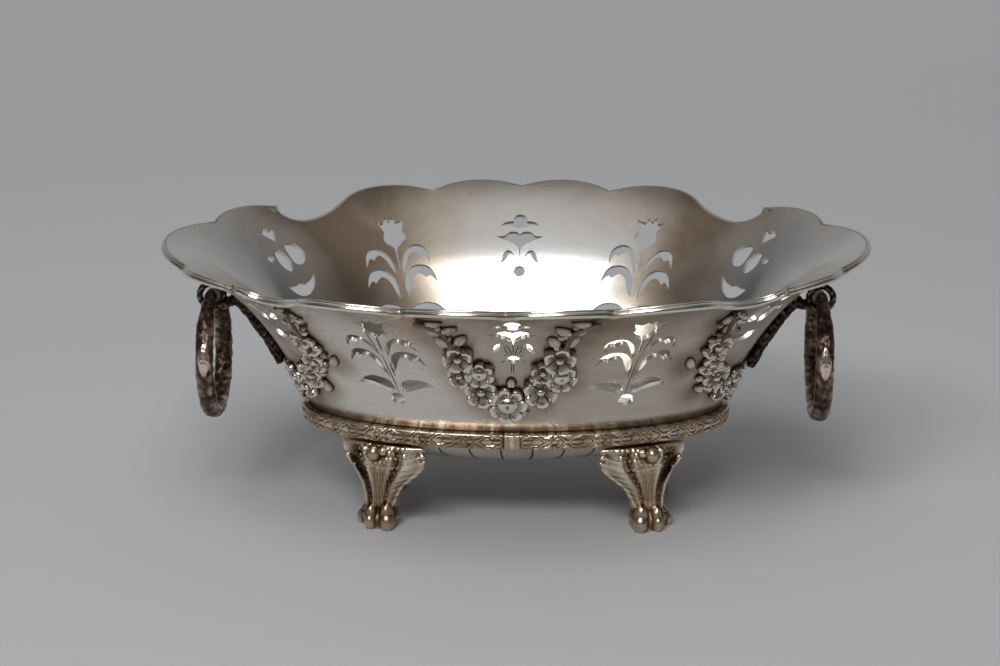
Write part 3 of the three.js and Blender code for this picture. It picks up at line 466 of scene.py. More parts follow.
# Parts of the garlands on the long sides: kind, millimetres round from the middle and up, half size, lie
FRONT_PARTS = [
    ("berry", -0.9, 16.6, 3.3, 0), ("bud", 0.2, 24.2, 1.7, 0), ("bud", -4.8, 11.6, 1.7, 0),
    ("bud", 3.2, 11.0, 1.7, 0), ("flower", -8.3, 22, 4.7, 0), ("flower", 8.5, 22.4, 4.8, 20),
    ("berry", -8.6, 30, 2.5, 0), ("flower", -14.3, 29.2, 3.5, 10), ("flower", -14.4, 38, 4.3, 0),
    ("flower", 9.2, 31, 3.3, 15), ("berry", 14.4, 28.4, 2.7, 0), ("flower", 14, 37.8, 4.5, 0),
    ("bud", -13.3, 22.4, 1.7, 0), ("bud", -8.6, 15, 2.0, 0), ("bud", 8.6, 15, 2.1, 0),
    ("bud", 15.2, 22.8, 1.9, 0),
    ("leaf", -19, 44.2, 3.5, 20), ("leaf", -13.6, 45.8, 3.6, -30), ("leaf", -16.6, 52.4, 3.7, -44),
    ("leaf", -21.2, 51.6, 3.4, 16), ("leaf", -21.4, 57.2, 3.9, -66),
    ("leaf", 12.6, 45, 3.5, 24), ("leaf", 18, 45, 3.6, -22), ("leaf", 15.4, 52.4, 3.8, 40),
    ("leaf", 20.6, 52.6, 3.4, -18), ("leaf", 21, 57.8, 3.9, 64),
]
# The same for one half of an end's garland, with the place round in degrees
END_HALF = [
    ("leaf", 44.5, 50, 4.2, -14), ("leaf", 41.4, 43, 4.3, 8), ("flower", 40, 33.5, 4.7, 0),
    ("berry", 37.6, 25.4, 3.1, 0), ("flower", 31.5, 18.6, 4.7, 0), ("berry", 24, 12.4, 2.8, 0),
    ("flower", 16.5, 14.6, 4.5, 30), ("flower", 7, 9.6, 4.0, 0), ("bud", 36.5, 15, 1.8, 0),
    ("leaf", 45.5, 27, 2.8, 30), ("bud", 10, 17.6, 1.8, 0), ("berry", 0.0, 8.6, 3.1, 0),
]

# Wall angles in the middle of each side
SIDE_ANGLES = {"front": -math.pi / 2, "back": math.pi / 2, "left": math.pi, "right": 0.0}
END_NAMES = ("left", "right")


def garland_layout(name):
    """Parts of a garland as kind, wall angle, height, size and lie in degrees."""
    rows = []
    middle = SIDE_ANGLES[name]
    if name in END_NAMES:
        for kind, turn, up, size, lie in END_HALF:
            for side in (1, -1) if turn else (1,):
                rows.append((kind, middle + side * math.radians(turn), up, size, -side * lie))
    else:
        side = 1 if name == "front" else -1
        for kind, across, up, size, lie in FRONT_PARTS:
            per_radian = float(wall_frame(middle, up / WALL)[2])
            rows.append((kind, middle + side * across / per_radian, up, size, side * lie))
    return rows


GARLANDS = {name: garland_layout(name) for name in SIDE_ANGLES}


def stain_outside(angle, share):
    """How tarnished the outside is: round the garlands, over the ring, under the rim and to the far sides."""
    here = wall_point(angle, share)
    over_ring = hump(share * WALL, 0, 3.2)
    under_rim = rise(share, 0.84, 0.14)
    stain = 0.04 + 0.75 * over_ring + 0.45 * under_rim
    halo_reach = 4.2
    halo = np.zeros_like(share)
    for rows in GARLANDS.values():
        for _, turn, up, size, _ in rows:
            centre = wall_point(turn, up / float(wall_length(turn)))
            distance = np.linalg.norm(here - centre, axis=-1)
            halo = np.maximum(halo, hump(np.maximum(distance - size, 0), 0, halo_reach))
    for middle in (math.pi / 2, -math.pi / 2):
        turn = np.abs((angle - middle + np.pi) % FULL_TURN - np.pi)
        between = np.clip(1.25 - turn / math.radians(11.5), 0, 1) * rise(share, 0.2, 0.15)
        halo = np.maximum(halo, 0.8 * between)
    turned = np.degrees(angle) % 360
    right_front = rise(turned, 275, 12) * rise(share, 0.02, 0.1)
    left_front = fall(turned, 222, 14) * (turned > 180)
    return np.clip(stain + 0.5 * halo + 0.36 * right_front + 0.42 * left_front, 0, 1)


def tarnish_and_shade_inside(angle, share):
    """How dark the inside is: brown on both sides of the back and low there away from the middle, which is
    tarnish and also painted shade that cuts off the flanks of the lamp's reflection; a little under the rim.
    """
    turned = np.degrees(angle) % 360
    # Both humps darken the back wall beside the lamp's reflection: brown tarnish, and painted shade over the
    # reflection's flanks
    sides = 1.2 * hump(turned, 127, 18) + hump(turned, 50, 13)
    brown = 0.92 * sides * rise(share, 0.2, 0.15)
    under_rim = np.abs(np.sin(angle)) ** 1.5 * 0.26 * rise(share, 0.62, 0.3)
    # Low on the back, outside the middle where the reflection falls, the wall is darkened too: painted shade
    off_middle = rise(np.abs(turned - 90), 14, 10) * (turned < 180)
    low = fall(share, 0.36, 0.12) * off_middle
    return np.clip(0.08 + under_rim + np.maximum(brown, 0.55 * low), 0, 1)


# The bowl's sheet is laid out flat: across is the angle times a length, and up is the share times a length
FLAT = 60.0
FLAT_WIDTH = FULL_TURN * FLAT
SEAT_PLACES = np.linspace(0, FLAT_WIDTH, 221)
SEAM_POINTS = 46
SPACING = 1.7

# How far the points of the field stay from the sheet's top edge, its seam and its holes
EDGE_CLEAR = 0.8
SEAM_CLEAR = 0.6
HOLE_CLEAR = 0.55

# Points closer than this become one, at the seam and at the seat
WELD = 0.004

# Numbers of the bowl's materials
OUTSIDE, INSIDE, CUT, BELLY = range(4)


def flat_place(angle, share):
    return np.stack([angle * FLAT, share * WALL], -1)


def inside_polygon(points, polygon):
    hit = np.zeros(len(points), bool)
    near = np.nonzero(np.all((points >= polygon.min(0)) & (points <= polygon.max(0)), axis=1))[0]
    x, y = points[near, :1], points[near, 1:]
    a, b = polygon, np.roll(polygon, -1, 0)
    crosses = (a[:, 1] > y) != (b[:, 1] > y)
    with np.errstate(divide="ignore", invalid="ignore"):
        at = a[:, 0] + (y - a[:, 1]) * (b[:, 0] - a[:, 0]) / (b[:, 1] - a[:, 1])
    hit[near] = (np.sum(crosses & (x < at), axis=1) % 2) == 1
    return hit


def flat_sheet():
    """The flat sheet's loops: first its own edge from the seam round to the seam, then its holes."""
    seam_clear = 0.004
    angle, share, _ = sheet_edge(rim_outline(3)[0])
    angle = np.mod(angle, FULL_TURN)
    order = np.argsort(angle)
    angle, share = angle[order], share[order]
    seam_share = np.interp(0, [angle[-1] - FULL_TURN, angle[0]], [share[-1], share[0]])
    keep = (angle > seam_clear) & (angle < FULL_TURN - seam_clear)
    angle = np.concatenate([[0], angle[keep], [FULL_TURN]])
    share = np.concatenate([[seam_share], share[keep], [seam_share]])
    top = flat_place(angle, share)
    seam = np.linspace(0, seam_share * WALL, SEAM_POINTS)[1:-1]
    right = np.stack([np.full_like(seam, FLAT_WIDTH), seam], -1)
    left = np.stack([np.zeros_like(seam), seam[::-1]], -1)
    bottom = np.stack([SEAT_PLACES, np.zeros_like(SEAT_PLACES)], -1)
    holes = []
    for shapes, _, degrees, side in MOTIFS:
        for shape in shapes:
            holes.append(flat_place(*wall_spot(math.radians(degrees), side * shape[:, 0], shape[:, 1])))
    return top, [np.concatenate([bottom, right, top[::-1], left])] + holes


def field_points(top, holes):
    """Staggered points between the edges, none of them close to a hole or the sheet's edge."""
    xs = np.arange(SPACING / 2, FLAT_WIDTH, SPACING)
    ys = np.arange(SPACING, 1.2 * WALL, SPACING)
    field = np.stack(np.meshgrid(xs, ys, indexing="ij"), -1)
    field[:, 1::2, 0] += SPACING / 2
    field = field.reshape(-1, 2)
    across, up = field.T
    below = up < np.interp(across, top[:, 0], top[:, 1]) - EDGE_CLEAR
    field = field[below & (across < FLAT_WIDTH - SEAM_CLEAR) & (across > SEAM_CLEAR)]
    close = np.zeros(len(field), bool)
    for hole in holes:
        close |= inside_polygon(field, hole)
        near = np.nonzero(np.all((field > hole.min(0) - 1) & (field < hole.max(0) + 1), axis=1))[0]
        away = np.linalg.norm(field[near][:, None] - hole[None], axis=2).min(1)
        close[near[away < HOLE_CLEAR]] = True
    return field[~close]


def cut_sheet():
    """Flat places of the pierced sheet, and its triangles."""
    top, loops = flat_sheet()
    points = np.concatenate(loops + [field_points(top, loops[1:])])
    edges, start = [], 0
    for loop in loops:
        count = len(loop)
        edges += [(start + i, start + (i + 1) % count) for i in range(count)]
        start += count
    cut = geometry.delaunay_2d_cdt([Vector(p) for p in points.tolist()], edges, [], 0, 1e-5, False)
    spots = np.array([tuple(v) for v in cut[0]])
    triangles = np.array([f for f in cut[2] if len(f) == 3])
    centres = spots[triangles].mean(1)
    wanted = inside_polygon(centres, loops[0])
    for hole in loops[1:]:
        wanted &= ~inside_polygon(centres, hole)
    return spots, triangles[wanted]


def add_belly(made):
    """The belly under the seat, closed to a point below, outside and inside."""
    turn = SEAT_PLACES[:-1] / FLAT
    drop = np.linspace(0, np.pi / 2, 26)[:, None]
    dull_outside, dull_inside = 0.35, 0.1
    for offset, slot in ((0.0, BELLY), (-SHEET, INSIDE)):
        along, across, deep = SEAT[0] + offset, SEAT[1] + offset, BELLY_DEPTH + offset
        rings = np.stack(np.broadcast_arrays(
            along * np.cos(turn) * np.cos(drop),
            across * np.sin(turn) * np.cos(drop),
            SEAT[2] - deep * np.sin(drop),
        ), -1)
        if offset:
            origin, out, _ = wall_frame(turn, 0.0)
            rings[0] = origin - SHEET * out
        rings[-1] = (0, 0, SEAT[2] - deep)
        level = np.zeros_like(turn)
        at_seat = tarnish_and_shade_inside(turn, level) if offset else stain_outside(turn, level)
        made.grid(rings, np.where(drop > 0, dull_inside if offset else dull_outside, at_seat), slot)


def make_bowl(materials):
    spots, triangles = cut_sheet()
    angle, share = spots[:, 0] / FLAT, spots[:, 1] / WALL
    origin, out, _ = wall_frame(angle, share)
    made = Builder()
    made.add(origin, triangles, stain_outside(angle, share), OUTSIDE)
    made.add(origin - SHEET * out, triangles[:, ::-1], tarnish_and_shade_inside(angle, share), INSIDE)

    # Cut edges: each triangle edge that has no other triangle beside it, away from the seat and the seam
    sides = np.concatenate([triangles[:, [0, 1]], triangles[:, [1, 2]], triangles[:, [2, 0]]])
    keys = np.sort(sides, axis=1)
    _, where, counts = np.unique(keys, axis=0, return_index=True, return_counts=True)
    open_sides = sides[where[counts == 1]]
    middle = spots[open_sides].mean(1)
    margin = 0.01
    free = (middle[:, 1] > margin) & (middle[:, 0] > margin) & (middle[:, 0] < FLAT_WIDTH - margin)
    first, second = open_sides[free].T
    walls = np.stack([second, first, first + len(spots), second + len(spots)], -1)
    made.faces.extend(walls.tolist())
    made.slots.extend([CUT] * len(walls))
    add_belly(made)
    bowl = made.fill("bowl_sheet", materials, 40, WELD)
    finish_piece(bowl, "dish", ["bowl"])


def arc_section(x, y, radii, low, high, count):
    turn = np.radians(np.linspace(low, high, count))
    return [(x + radii[0] * math.cos(t), y + radii[1] * math.sin(t)) for t in turn]


# Section of the border: millimetres out past the sheet's edge, and out of the wall from its inside
BORDER_SECTION = np.array(
    [(-GAP - 0.1, 0.0), (0.5, 0.0)]
    + arc_section(0.86, 0.5, (0.62, 0.5), -70, 50, 6)
    + arc_section(0.72, 1.52, (0.84, 0.86), -48, 90, 9)
    + [(0.2, 2.3), (-GAP - 0.1, SHEET + 0.1)]
)

# Ties of the border at its notches: half their length, and the length of one rib
TIE_HALF = 2.7
TIE_RIB = 0.9


def run_along(points):
    """Length from the first point to each one of a closed outline, and the whole length."""
    steps = np.linalg.norm(np.roll(points, -1, 0) - points, axis=1)
    return np.concatenate([[0], np.cumsum(steps)[:-1]]), steps.sum()


def make_border(materials):
    """Two reeds along the edge: a thin one flush with the sheet's inside, and a thick one below it."""
    outline, notches = rim_outline()
    angle, share, normals = sheet_edge(outline)
    origin, out, _ = wall_frame(angle, share)
    plan = np.concatenate([normals, np.zeros((len(normals), 1))], 1)
    across = unit(plan - (plan * out).sum(1, keepdims=True) * out)
    origin = origin + across * GAP - out * SHEET
    section = BORDER_SECTION
    along = unit(np.roll(section, -1, 0) - np.roll(section, 1, 0))
    proud = np.stack([along[:, 1], -along[:, 0]], -1)
    proud[[0, 1, -1]] = 0
    run, total = run_along(outline)
    away = np.full(len(outline), 1e9)
    for notch in notches:
        gap = np.abs(run - run[notch])
        away = np.minimum(away, np.minimum(gap, total - gap))
    tie = fall(away, TIE_HALF, 0.4)
    rib = 0.5 + 0.5 * np.cos(FULL_TURN * away / TIE_RIB)
    lift = tie * (0.05 + 0.12 * rib) - 0.06 * hump(away, 3.0, 0.3)
    shaped = section[None] + lift[:, None, None] * proud[None]
    rings = origin[:, None] + shaped[..., :1] * across[:, None] + shaped[..., 1:] * out[:, None]
    shade = np.array([1, 1, 0.9] + [1.0] * (len(section) - 5) + [0.75, 0.6])
    wear_and_light = (0.92 - 0.5 * tie + 0.28 * tie * rib)[:, None] * shade
    wear_and_light[:, :2] = tarnish_and_shade_inside(angle, share)[:, None]
    made = Builder()
    made.grid(rings, wear_and_light, loops=2)
    flush = np.arange(len(made.faces)) % len(section) == 0
    made.slots = flush.astype(int).tolist()
    border = made.fill("reeded_border", materials, 50)
    finish_piece(border, "dish", ["rim_border"])


# Rows of laurel leaves: place across the ring, shift along it, half width, and leaves to a cell
LEAF_ROWS = [(0.0, 0.5, 0.5, 1.0), (0.55, 0.16, 0.4, 1.5), (-0.55, 0.84, 0.4, 1.5), (0.86, 0.6, 0.26, 1.5),
             (-0.86, 0.3, 0.26, 1.5)]
# Half the width that the ribbons swing over, and half the length of the ring's ties
RIBBON_REACH = 3.9
RING_TIE_HALF = 2.4


def ring_relief(along, across):
    """Height over the ring's core: laurel leaves that point away from the tie, under crossed ribbons."""
    place = along / RING_CELL
    body = np.zeros(np.broadcast_shapes(along.shape, across.shape))
    for centre, phase, width, pace in LEAF_ROWS:
        u = np.mod(place * pace + phase, 1)
        reach = width * np.clip(1.02 - u, 0, 1) ** 0.55 * np.clip(u / 0.12, 0, 1) ** 0.4
        side = np.abs(across - centre) / np.maximum(reach, 0.02)
        blade = np.clip(1 - side**2, 0, 1) ** 0.6
        vein = hump(across, centre, 0.05) + 0.35 * hump(side, 0.55, 0.12)
        body = np.maximum(body, blade * (0.42 + 0.22 * u) - 0.2 * vein * (blade > 0.1))
    half_cell = RING_CELL / 2
    offset = np.abs(place - np.round(place))
    slant = math.hypot(RIBBON_REACH, half_cell)
    away = np.abs(np.abs(across) - 2 * offset) * RIBBON_REACH * half_cell / slant
    ribbon = np.clip(1.0 - (away / 0.42) ** 4, 0, 1)
    groove = hump(away, 0.64, 0.2)
    return np.where(ribbon > 0, np.maximum(0.42 * ribbon, body * 0.4), body) - 0.42 * groove


def make_ring(materials):
    angle = turns(1500) - np.pi / 2
    mid_depth = 2
    points = np.stack([(SEAT[0] + mid_depth) * np.cos(angle), (SEAT[1] + mid_depth) * np.sin(angle)], -1)
    run, total = run_along(points)
    half = total / 2
    quarter = half / 2
    from_front = np.where(run > half, total - run, run)
    away = np.minimum(from_front, half - from_front)
    # Each quarter holds whole cells and a part of one at its tie
    part = 0.4
    fitted = RING_CELL * round(quarter / RING_CELL - part) + part * RING_CELL
    scaled = away * fitted / quarter
    bend = np.linspace(-np.pi / 2, np.pi / 2, 30)
    across = np.sign(bend) * np.abs(np.sin(bend)) ** 0.8
    swing = 0.8 * np.sin(scaled * 0.47) + 0.3 * np.sin(scaled * 2.1 + 1)
    first_leaf = 2.7
    height = ring_relief((scaled + swing)[:, None] - first_leaf, across[None, :])
    height = height * (0.85 + 0.25 * np.sin(run * 0.61 + 2 * np.sin(run * 0.23)))[:, None]
    lip = hump(np.abs(across), 0.9, 0.07)[None]
    height = np.maximum(height, 0.3 * lip)
    away = away[:, None]
    on_tie = fall(away, RING_TIE_HALF, 0.25)
    rib = 0.12 * np.cos(FULL_TURN * away / RING_TIE_HALF)
    height = height * (1 - on_tie) + on_tie * (0.42 + rib) - 0.3 * hump(away, 2.3, 0.3)
    normal = unit(np.stack([np.cos(angle) / SEAT[0], np.sin(angle) / SEAT[1]], -1))
    core_out, core_up = RING_DEPTH - 0.5, RING_HEIGHT / 2 - 0.45
    level = SEAT[2] + (core_up + 0.3) * across[None]
    reach = GAP + (core_out + height) * np.cos(bend)[None] ** 0.38
    along, wide = wall_axes(np.interp(rise(level, SEAT[2], LIP[2] - SEAT[2]), UPS, OUTS))
    rings = np.stack(np.broadcast_arrays(
        along * np.cos(angle)[:, None] + normal[:, :1] * reach,
        wide * np.sin(angle)[:, None] + normal[:, 1:] * reach,
        level,
    ), -1)
    made = Builder()
    # The lip along the ring's top edge is made brighter than the lower one: a painted highlight
    wear_and_light = np.clip(0.16 + height * 1.5 + 0.4 * lip * (across > 0), 0, 1)
    made.grid(rings, wear_and_light, loops=2)
    ring = made.fill("laurel_band", materials, 70)
    finish_piece(ring, "dish", ["laurel_ring"])


# Cast pieces that are welded into one skin: the relief value of even metal, and its gain per millimetre
EVEN_RELIEF = 0.45
RELIEF_GAIN = 3.2


def relaxed(points, edges, rounds, share):
    """Draws points towards the mean of their neighbours by a share of the way, a few times over."""
    for _ in range(rounds):
        total = np.zeros_like(points)
        times = np.zeros(len(points))
        for here, there in ((0, 1), (1, 0)):
            np.add.at(total, edges[:, here], points[edges[:, there]])
            np.add.at(times, edges[:, here], 1)
        points = points + share * (total / np.maximum(times, 1)[:, None] - points)
    return points


def read(items, key, kind=float, width=3):
    values = np.empty(len(items) * width, kind)
    items.foreach_get(key, values)
    return values.reshape(-1, width)


def cast(builder, voxel):
    """Welds overlapping bodies into one skin. Returns points, faces, how proud each point is, and normals."""
    rough = builder.fill("casting")
    remesh = rough.modifiers.new("weld", "REMESH")
    remesh.mode = "VOXEL"
    remesh.voxel_size = voxel * MILLIMETRE
    evaluated = rough.evaluated_get(bpy.context.evaluated_depsgraph_get())
    mesh = bpy.data.meshes.new_from_object(evaluated)
    bpy.data.objects.remove(rough)
    edges = read(mesh.edges, "vertices", int, 2)
    points = relaxed(read(mesh.vertices, "co") / MILLIMETRE, edges, 2, 0.5)
    mesh.vertices.foreach_set("co", points.ravel())
    mesh.update()
    normals = read(mesh.vertices, "normal")
    proud = ((points - relaxed(points, edges, 14, 0.6)) * normals).sum(1)
    faces = [tuple(p.vertices) for p in mesh.polygons]
    bpy.data.meshes.remove(mesh)
    return points, faces, np.clip(EVEN_RELIEF + proud * RELIEF_GAIN, 0, 1), normals


def solid_piece(name, points, faces, relief, materials):
    made = Builder()
    made.add(points, faces, relief)
    return made.fill(name, materials)


# Leg of a foot, all as shares: height, tuck, half width, half depth, and shift to the dish's middle
STATIONS = np.array([
    (0, 1, 0.4, 0.95, 0), (0.12, 1, 0.46, 1, 0), (0.2, 1.06, 0.36, 0.72, 0.2), (0.34, 0.98, 0.39, 0.7, 0.45),
    (0.5, 0.72, 0.5, 0.78, 0.7), (0.62, 0.48, 0.7, 0.8, 0.9), (0.755, 0.27, 0.95, 0.74, 1),
    (0.86, 0.16, 1, 0.58, 1), (0.985, 0.12, 0.97, 0.42, 1),
])
PROFILE = dict(zip(("height", "tuck", "width", "depth", "shift"), STATIONS.T))
FOOT_ANGLE = math.radians(50)
TUCK = 8.0
FOOT_WIDTH = 13.4
FOOT_DEPTH = 5.2
WING_SHIFT = 2.4
LEG = SEAT[2] - RING_HEIGHT / 2
TOE_TOP = 0.12 * LEG
FOOT_VOXEL = 0.27
TOP_GAP = 0.15

# Boss on the knee: its place to the side, out and up, and its radius
BOSS = (0.9, 3.4, 26.4, 2.7)

# Toes from the outer one to the inner one, each with the knuckle behind it: place, then half sizes
TOES = [
    (-5.8, 0.9, 2.0, 2.1, 1.7, 2.4), (-4.9, 0.5, 3.6, 1.8, 1.5, 2.6), (-1.3, 4.7, 2.3, 2.3, 1.8, 2.7),
    (-1.1, 3.9, 3.9, 2.3, 1.65, 3.4), (3.9, 4.1, 2.5, 2.5, 2.25, 2.9), (3.5, 3.3, 4.3, 2.4, 2.1, 3.6),
]

# Flutes of the leg: places across it as shares of its half width, outer edge first, and their heights
FLUTES = np.array([
    (-1.05, 0.1), (-0.93, 0.42), (-0.82, 0.05), (-0.62, -0.5), (-0.44, -0.15), (-0.33, 0.42), (-0.22, 0.0),
    (-0.05, 0.1), (0.12, 0.0), (0.24, 0.22), (0.34, -0.38), (0.46, -0.22), (0.56, 0.38), (0.68, 0.22),
    (0.84, 0.12), (0.95, 0.3), (1.05, 0.0),
])
FLUTE_PLACES = np.linspace(-1.05, 1.05, 400)
FLUTE_HEIGHTS = np.interp(FLUTE_PLACES, FLUTES[:, 0], FLUTES[:, 1])
REACH_OF_MEAN = 4
for _ in range(3):
    inner_count = len(FLUTE_HEIGHTS) - 2 * REACH_OF_MEAN
    moved = [FLUTE_HEIGHTS[i:i + inner_count] for i in range(2 * REACH_OF_MEAN + 1)]
    FLUTE_HEIGHTS[REACH_OF_MEAN:-REACH_OF_MEAN] = np.mean(moved, axis=0)


def leg_value(share, what):
    return np.interp(share, PROFILE["height"], PROFILE[what])


def grains(x, y, size):
    """Small rounded grains, from 0 to 1."""
    row = np.floor(y / size)
    cell = x / size + 0.5 * (row % 2) + 0.21 * np.sin(row * 2.3)
    column = np.floor(cell)
    a = cell - column - 0.5 - 0.2 * np.sin(column * 12.9 + row * 7.1)
    b = y / size - row - 0.5 + 0.2 * np.sin(column * 5.3 + row * 3.7)
    return np.clip(1 - 5.5 * (a * a + b * b), 0, 1) ** 0.6


def foot_carving(side, up):
    """Height of the carving on the front of a foot, in millimetres, at places across it and up it."""
    share = up / LEG
    wide = leg_value(share, "width") * FOOT_WIDTH
    place = (side - leg_value(share, "shift") * WING_SHIFT) / wide
    boss_side, _, boss_up, boss_size = BOSS
    away = np.hypot(side - boss_side, up - boss_up)
    low = rise(share, 0.19, 0.06)
    high = fall(share, 1.0, 0.1) * np.clip((away - boss_size + 0.3) / 0.8, 0, 1)
    carving = np.interp(place, FLUTE_PLACES, FLUTE_HEIGHTS) * low * high * np.clip(wide / 6.5, 0.75, 1.3)
    # Cross ribs down the shin
    shin = np.exp(-(((place - 0.02) / 0.22) ** 4)) * fall(share, 0.72, 0.08) * low
    carving = carving + 0.11 * shin * np.cos(FULL_TURN * (side / 0.95 + 0.1 * np.sin(up * 0.8)))
    # Beaded bands on both sides of it
    beaded = hump(place, 0.39, 0.09) + hump(place, -0.6, 0.13)
    carving = carving + low * high * beaded * 0.42 * grains(side, up, 1.15)
    # Veins of the leaf along the inner edge
    leaf_band = rise(place, 0.55, 0.1) * rise(share, 0.3, 0.1)
    veins = np.cos(FULL_TURN * (up / 2.5 - 1.6 * place)) ** 3
    carving = carving + 0.13 * leaf_band * veins * high
    # Fine grains between the boss and the wings
    top = rise(share, 0.66, 0.1) * rise(away, boss_size, 0.5) * fall(np.abs(place), 0.75, 0.2)
    carving = carving + top * 0.3 * grains(side + 0.3 * up, up, 1.5)
    return 1.25 * carving


def make_feet(materials):
    # The front right foot is made first: inner runs towards the dish's middle, outward from it
    angle = -FOOT_ANGLE
    outward = unit(np.array([math.cos(angle) / SEAT[0], math.sin(angle) / SEAT[1], 0]))
    inner = np.array([outward[1], -outward[0], 0])
    under = np.array([0.0, 1.0, 0.0])
    upward = np.array([0.0, 0, 1])
    axes = [outward, inner, upward]
    seat = np.array([SEAT[0] * math.cos(angle), SEAT[1] * math.sin(angle), 0])
    root = seat + outward * (GAP + RING_DEPTH / 2)

    def at(side, reach, up):
        side, reach, up = (np.asarray(v, float)[..., None] for v in np.broadcast_arrays(side, reach, up))
        tuck = leg_value(up / LEG, "tuck") * TUCK
        return root + side * inner + reach * outward + tuck * under + up * upward

    def skin(place, share, lift=0.0):
        """A point of the leg's front, from a share of its half width and a share of its height."""
        side = place * leg_value(share, "width") * FOOT_WIDTH + leg_value(share, "shift") * WING_SHIFT
        reach = np.sqrt(np.clip(1 - place**2, 0, 1)) * leg_value(share, "depth") * FOOT_DEPTH
        return at(side, reach + lift, share * LEG)

    body = Builder()
    shares = np.linspace(0, 0.985, 44)[:, None]
    waist = np.interp(shares, [0, 0.5, 0.62, 0.72, 0.8, 0.9, 0.985], [1, 0.96, 0.84, 0.78, 0.86, 1.0, 1.04])
    flat_back = 0.8
    aside, ahead = np.cos(turns(40)), np.sin(turns(40))
    side = aside * (leg_value(shares, "width") * FOOT_WIDTH) * np.where(aside < 0, waist, 1)
    reach = ahead * (leg_value(shares, "depth") * FOOT_DEPTH) * np.where(ahead < 0, flat_back, 1)
    rings = at(side + leg_value(shares, "shift") * WING_SHIFT, reach, shares * LEG)
    body.grid(rings)
    body.ends(rings)
    for side, reach, up, deep, wide, tall in TOES:
        centre = at(side, reach, min(up, TOE_TOP)) + upward * max(0, up - TOE_TOP)
        body.ball(centre, (deep, wide, tall), axes)
    # Rolled edges of the leg and the wings
    height = np.linspace(0.16, 0.84, 30)
    outer_edge = -np.interp(height, [0.16, 0.4, 0.62, 0.72, 0.84], [0.82, 0.88, 0.78, 0.74, 0.86])
    body.tube(skin(outer_edge, height, 0.05), 0.42 + 0.22 * height, 12)
    height = np.linspace(0.15, 0.74, 24)
    inner_edge = np.interp(height, [0.15, 0.3, 0.74], [0.66, 0.86, 0.96])
    body.tube(skin(inner_edge, height), 0.5 + 0.35 * height, 12)
    # Leaf tips that curl over at the inner wing
    for curl_side, curl_up, size in ((14.7, 25.4, 1.15), (12.6, 21.3, 0.95)):
        around = np.linspace(0.2 * np.pi, 1.9 * np.pi, 20)
        curl = at(curl_side + size * np.cos(around), 1.3, curl_up + size * np.sin(around))
        body.tube(curl, np.linspace(0.6, 0.38, 20), 10)
    # Boss on the knee: a large smooth lobe and two small ones beside it, over a raised rim
    boss_side, boss_reach, boss_up, boss_size = BOSS
    boss = at(boss_side, boss_reach - 0.4, boss_up)
    for offset, lift, size in ((-0.6, -0.3, 0.86), (2.2, 0.5, 0.5), (-3.0, 0.4, 0.42)):
        radii = (2.6 * size, 2.4 * size, boss_size * size)
        body.ball(boss + inner * offset + upward * lift, radii, axes, 16, 20)
    around = np.linspace(1.0 * np.pi, 2.0 * np.pi, 22)
    rim = boss + np.outer(np.cos(around) * 3.5, inner) + np.outer(np.sin(around) * 2.9 - 0.3, upward)
    body.tube(rim - outward * 0.6, 0.42, 8)
    points, faces, relief, normals = cast(body, FOOT_VOXEL)
    local = points - root
    local = local - np.outer(leg_value(local[:, 2] / LEG, "tuck") * TUCK, under)
    side, reach, up = local @ inner, local @ outward, local[:, 2]
    front = np.clip((normals @ outward) / 0.35, 0, 1) * np.clip(reach + 0.3, 0, 1)
    on_boss = np.hypot(side - boss_side, up - boss_up) < boss_size + 0.2
    carving = foot_carving(side, up) * front * np.where(on_boss & (reach > 1.5), 0, 1)
    points = points + normals * carving[:, None]
    relief = np.clip(0.8 * relief + 0.95 * carving + 0.04, 0, 1)
    points[:, 2] = np.clip(points[:, 2], 0, LEG - TOP_GAP)
    names = {(1, -1): "front_right", (-1, -1): "front_left", (1, 1): "back_right", (-1, 1): "back_left"}
    for (along, across), name in names.items():
        piece = solid_piece("paw_" + name, points * [along, -across, 1.0], faces, relief, materials)
        finish_piece(piece, "dish", ["foot_" + name])


# Numbers of the garlands' materials: berries and the middles of flowers have their own
CAST_METAL, BERRY_METAL = range(2)

# From these half sizes on, a flower has six petals and a berry has a navel
SIX_PETALS_FROM = 4.6
NAVEL_FROM = 2.4


def cupped_flower(made, angle, up, size, spin, petals, height, lean):
    """An open flower: cupped petals with bright raised rims and grooves between them; its face leans up."""
    turn = turns(12 * petals)
    lobe = np.abs(np.cos(petals * (turn - spin) / 2))
    edge = size * (0.72 + 0.28 * lobe**0.6)
    rho = np.append(np.linspace(0, 1, 15), 1)[:, None]
    px = edge * rho * np.cos(turn)
    py = edge * rho * np.sin(turn)
    groove = hump(lobe, 0, 0.2) * rise(rho, 0.3, 0.2)
    side_rim = hump(lobe, 0.42, 0.14) * rise(rho, 0.4, 0.3)
    rim = np.interp(rho, [0, 0.2, 0.36, 0.6, 0.8, 0.92, 1], [0.5, 0.4, 0.36, 0.5, 0.96, 1.0, 0.55])
    z = height * (rim + 0.22 * side_rim - 0.5 * groove) + lean * (size - py)
    z = np.maximum(z, 0.1)
    z[-1] = 0
    shade = np.interp(rho, [0, 0.26, 0.42, 0.66, 0.82, 0.95, 1], [0.25, 0.12, 0.25, 0.5, 0.95, 1.0, 0.6])
    shade = np.clip(shade + 0.3 * side_rim - 0.7 * groove, 0.05, 1)
    shade[-1] = 0.25
    made.grid(wall_place(angle, px, up + py, GAP + z), shade)


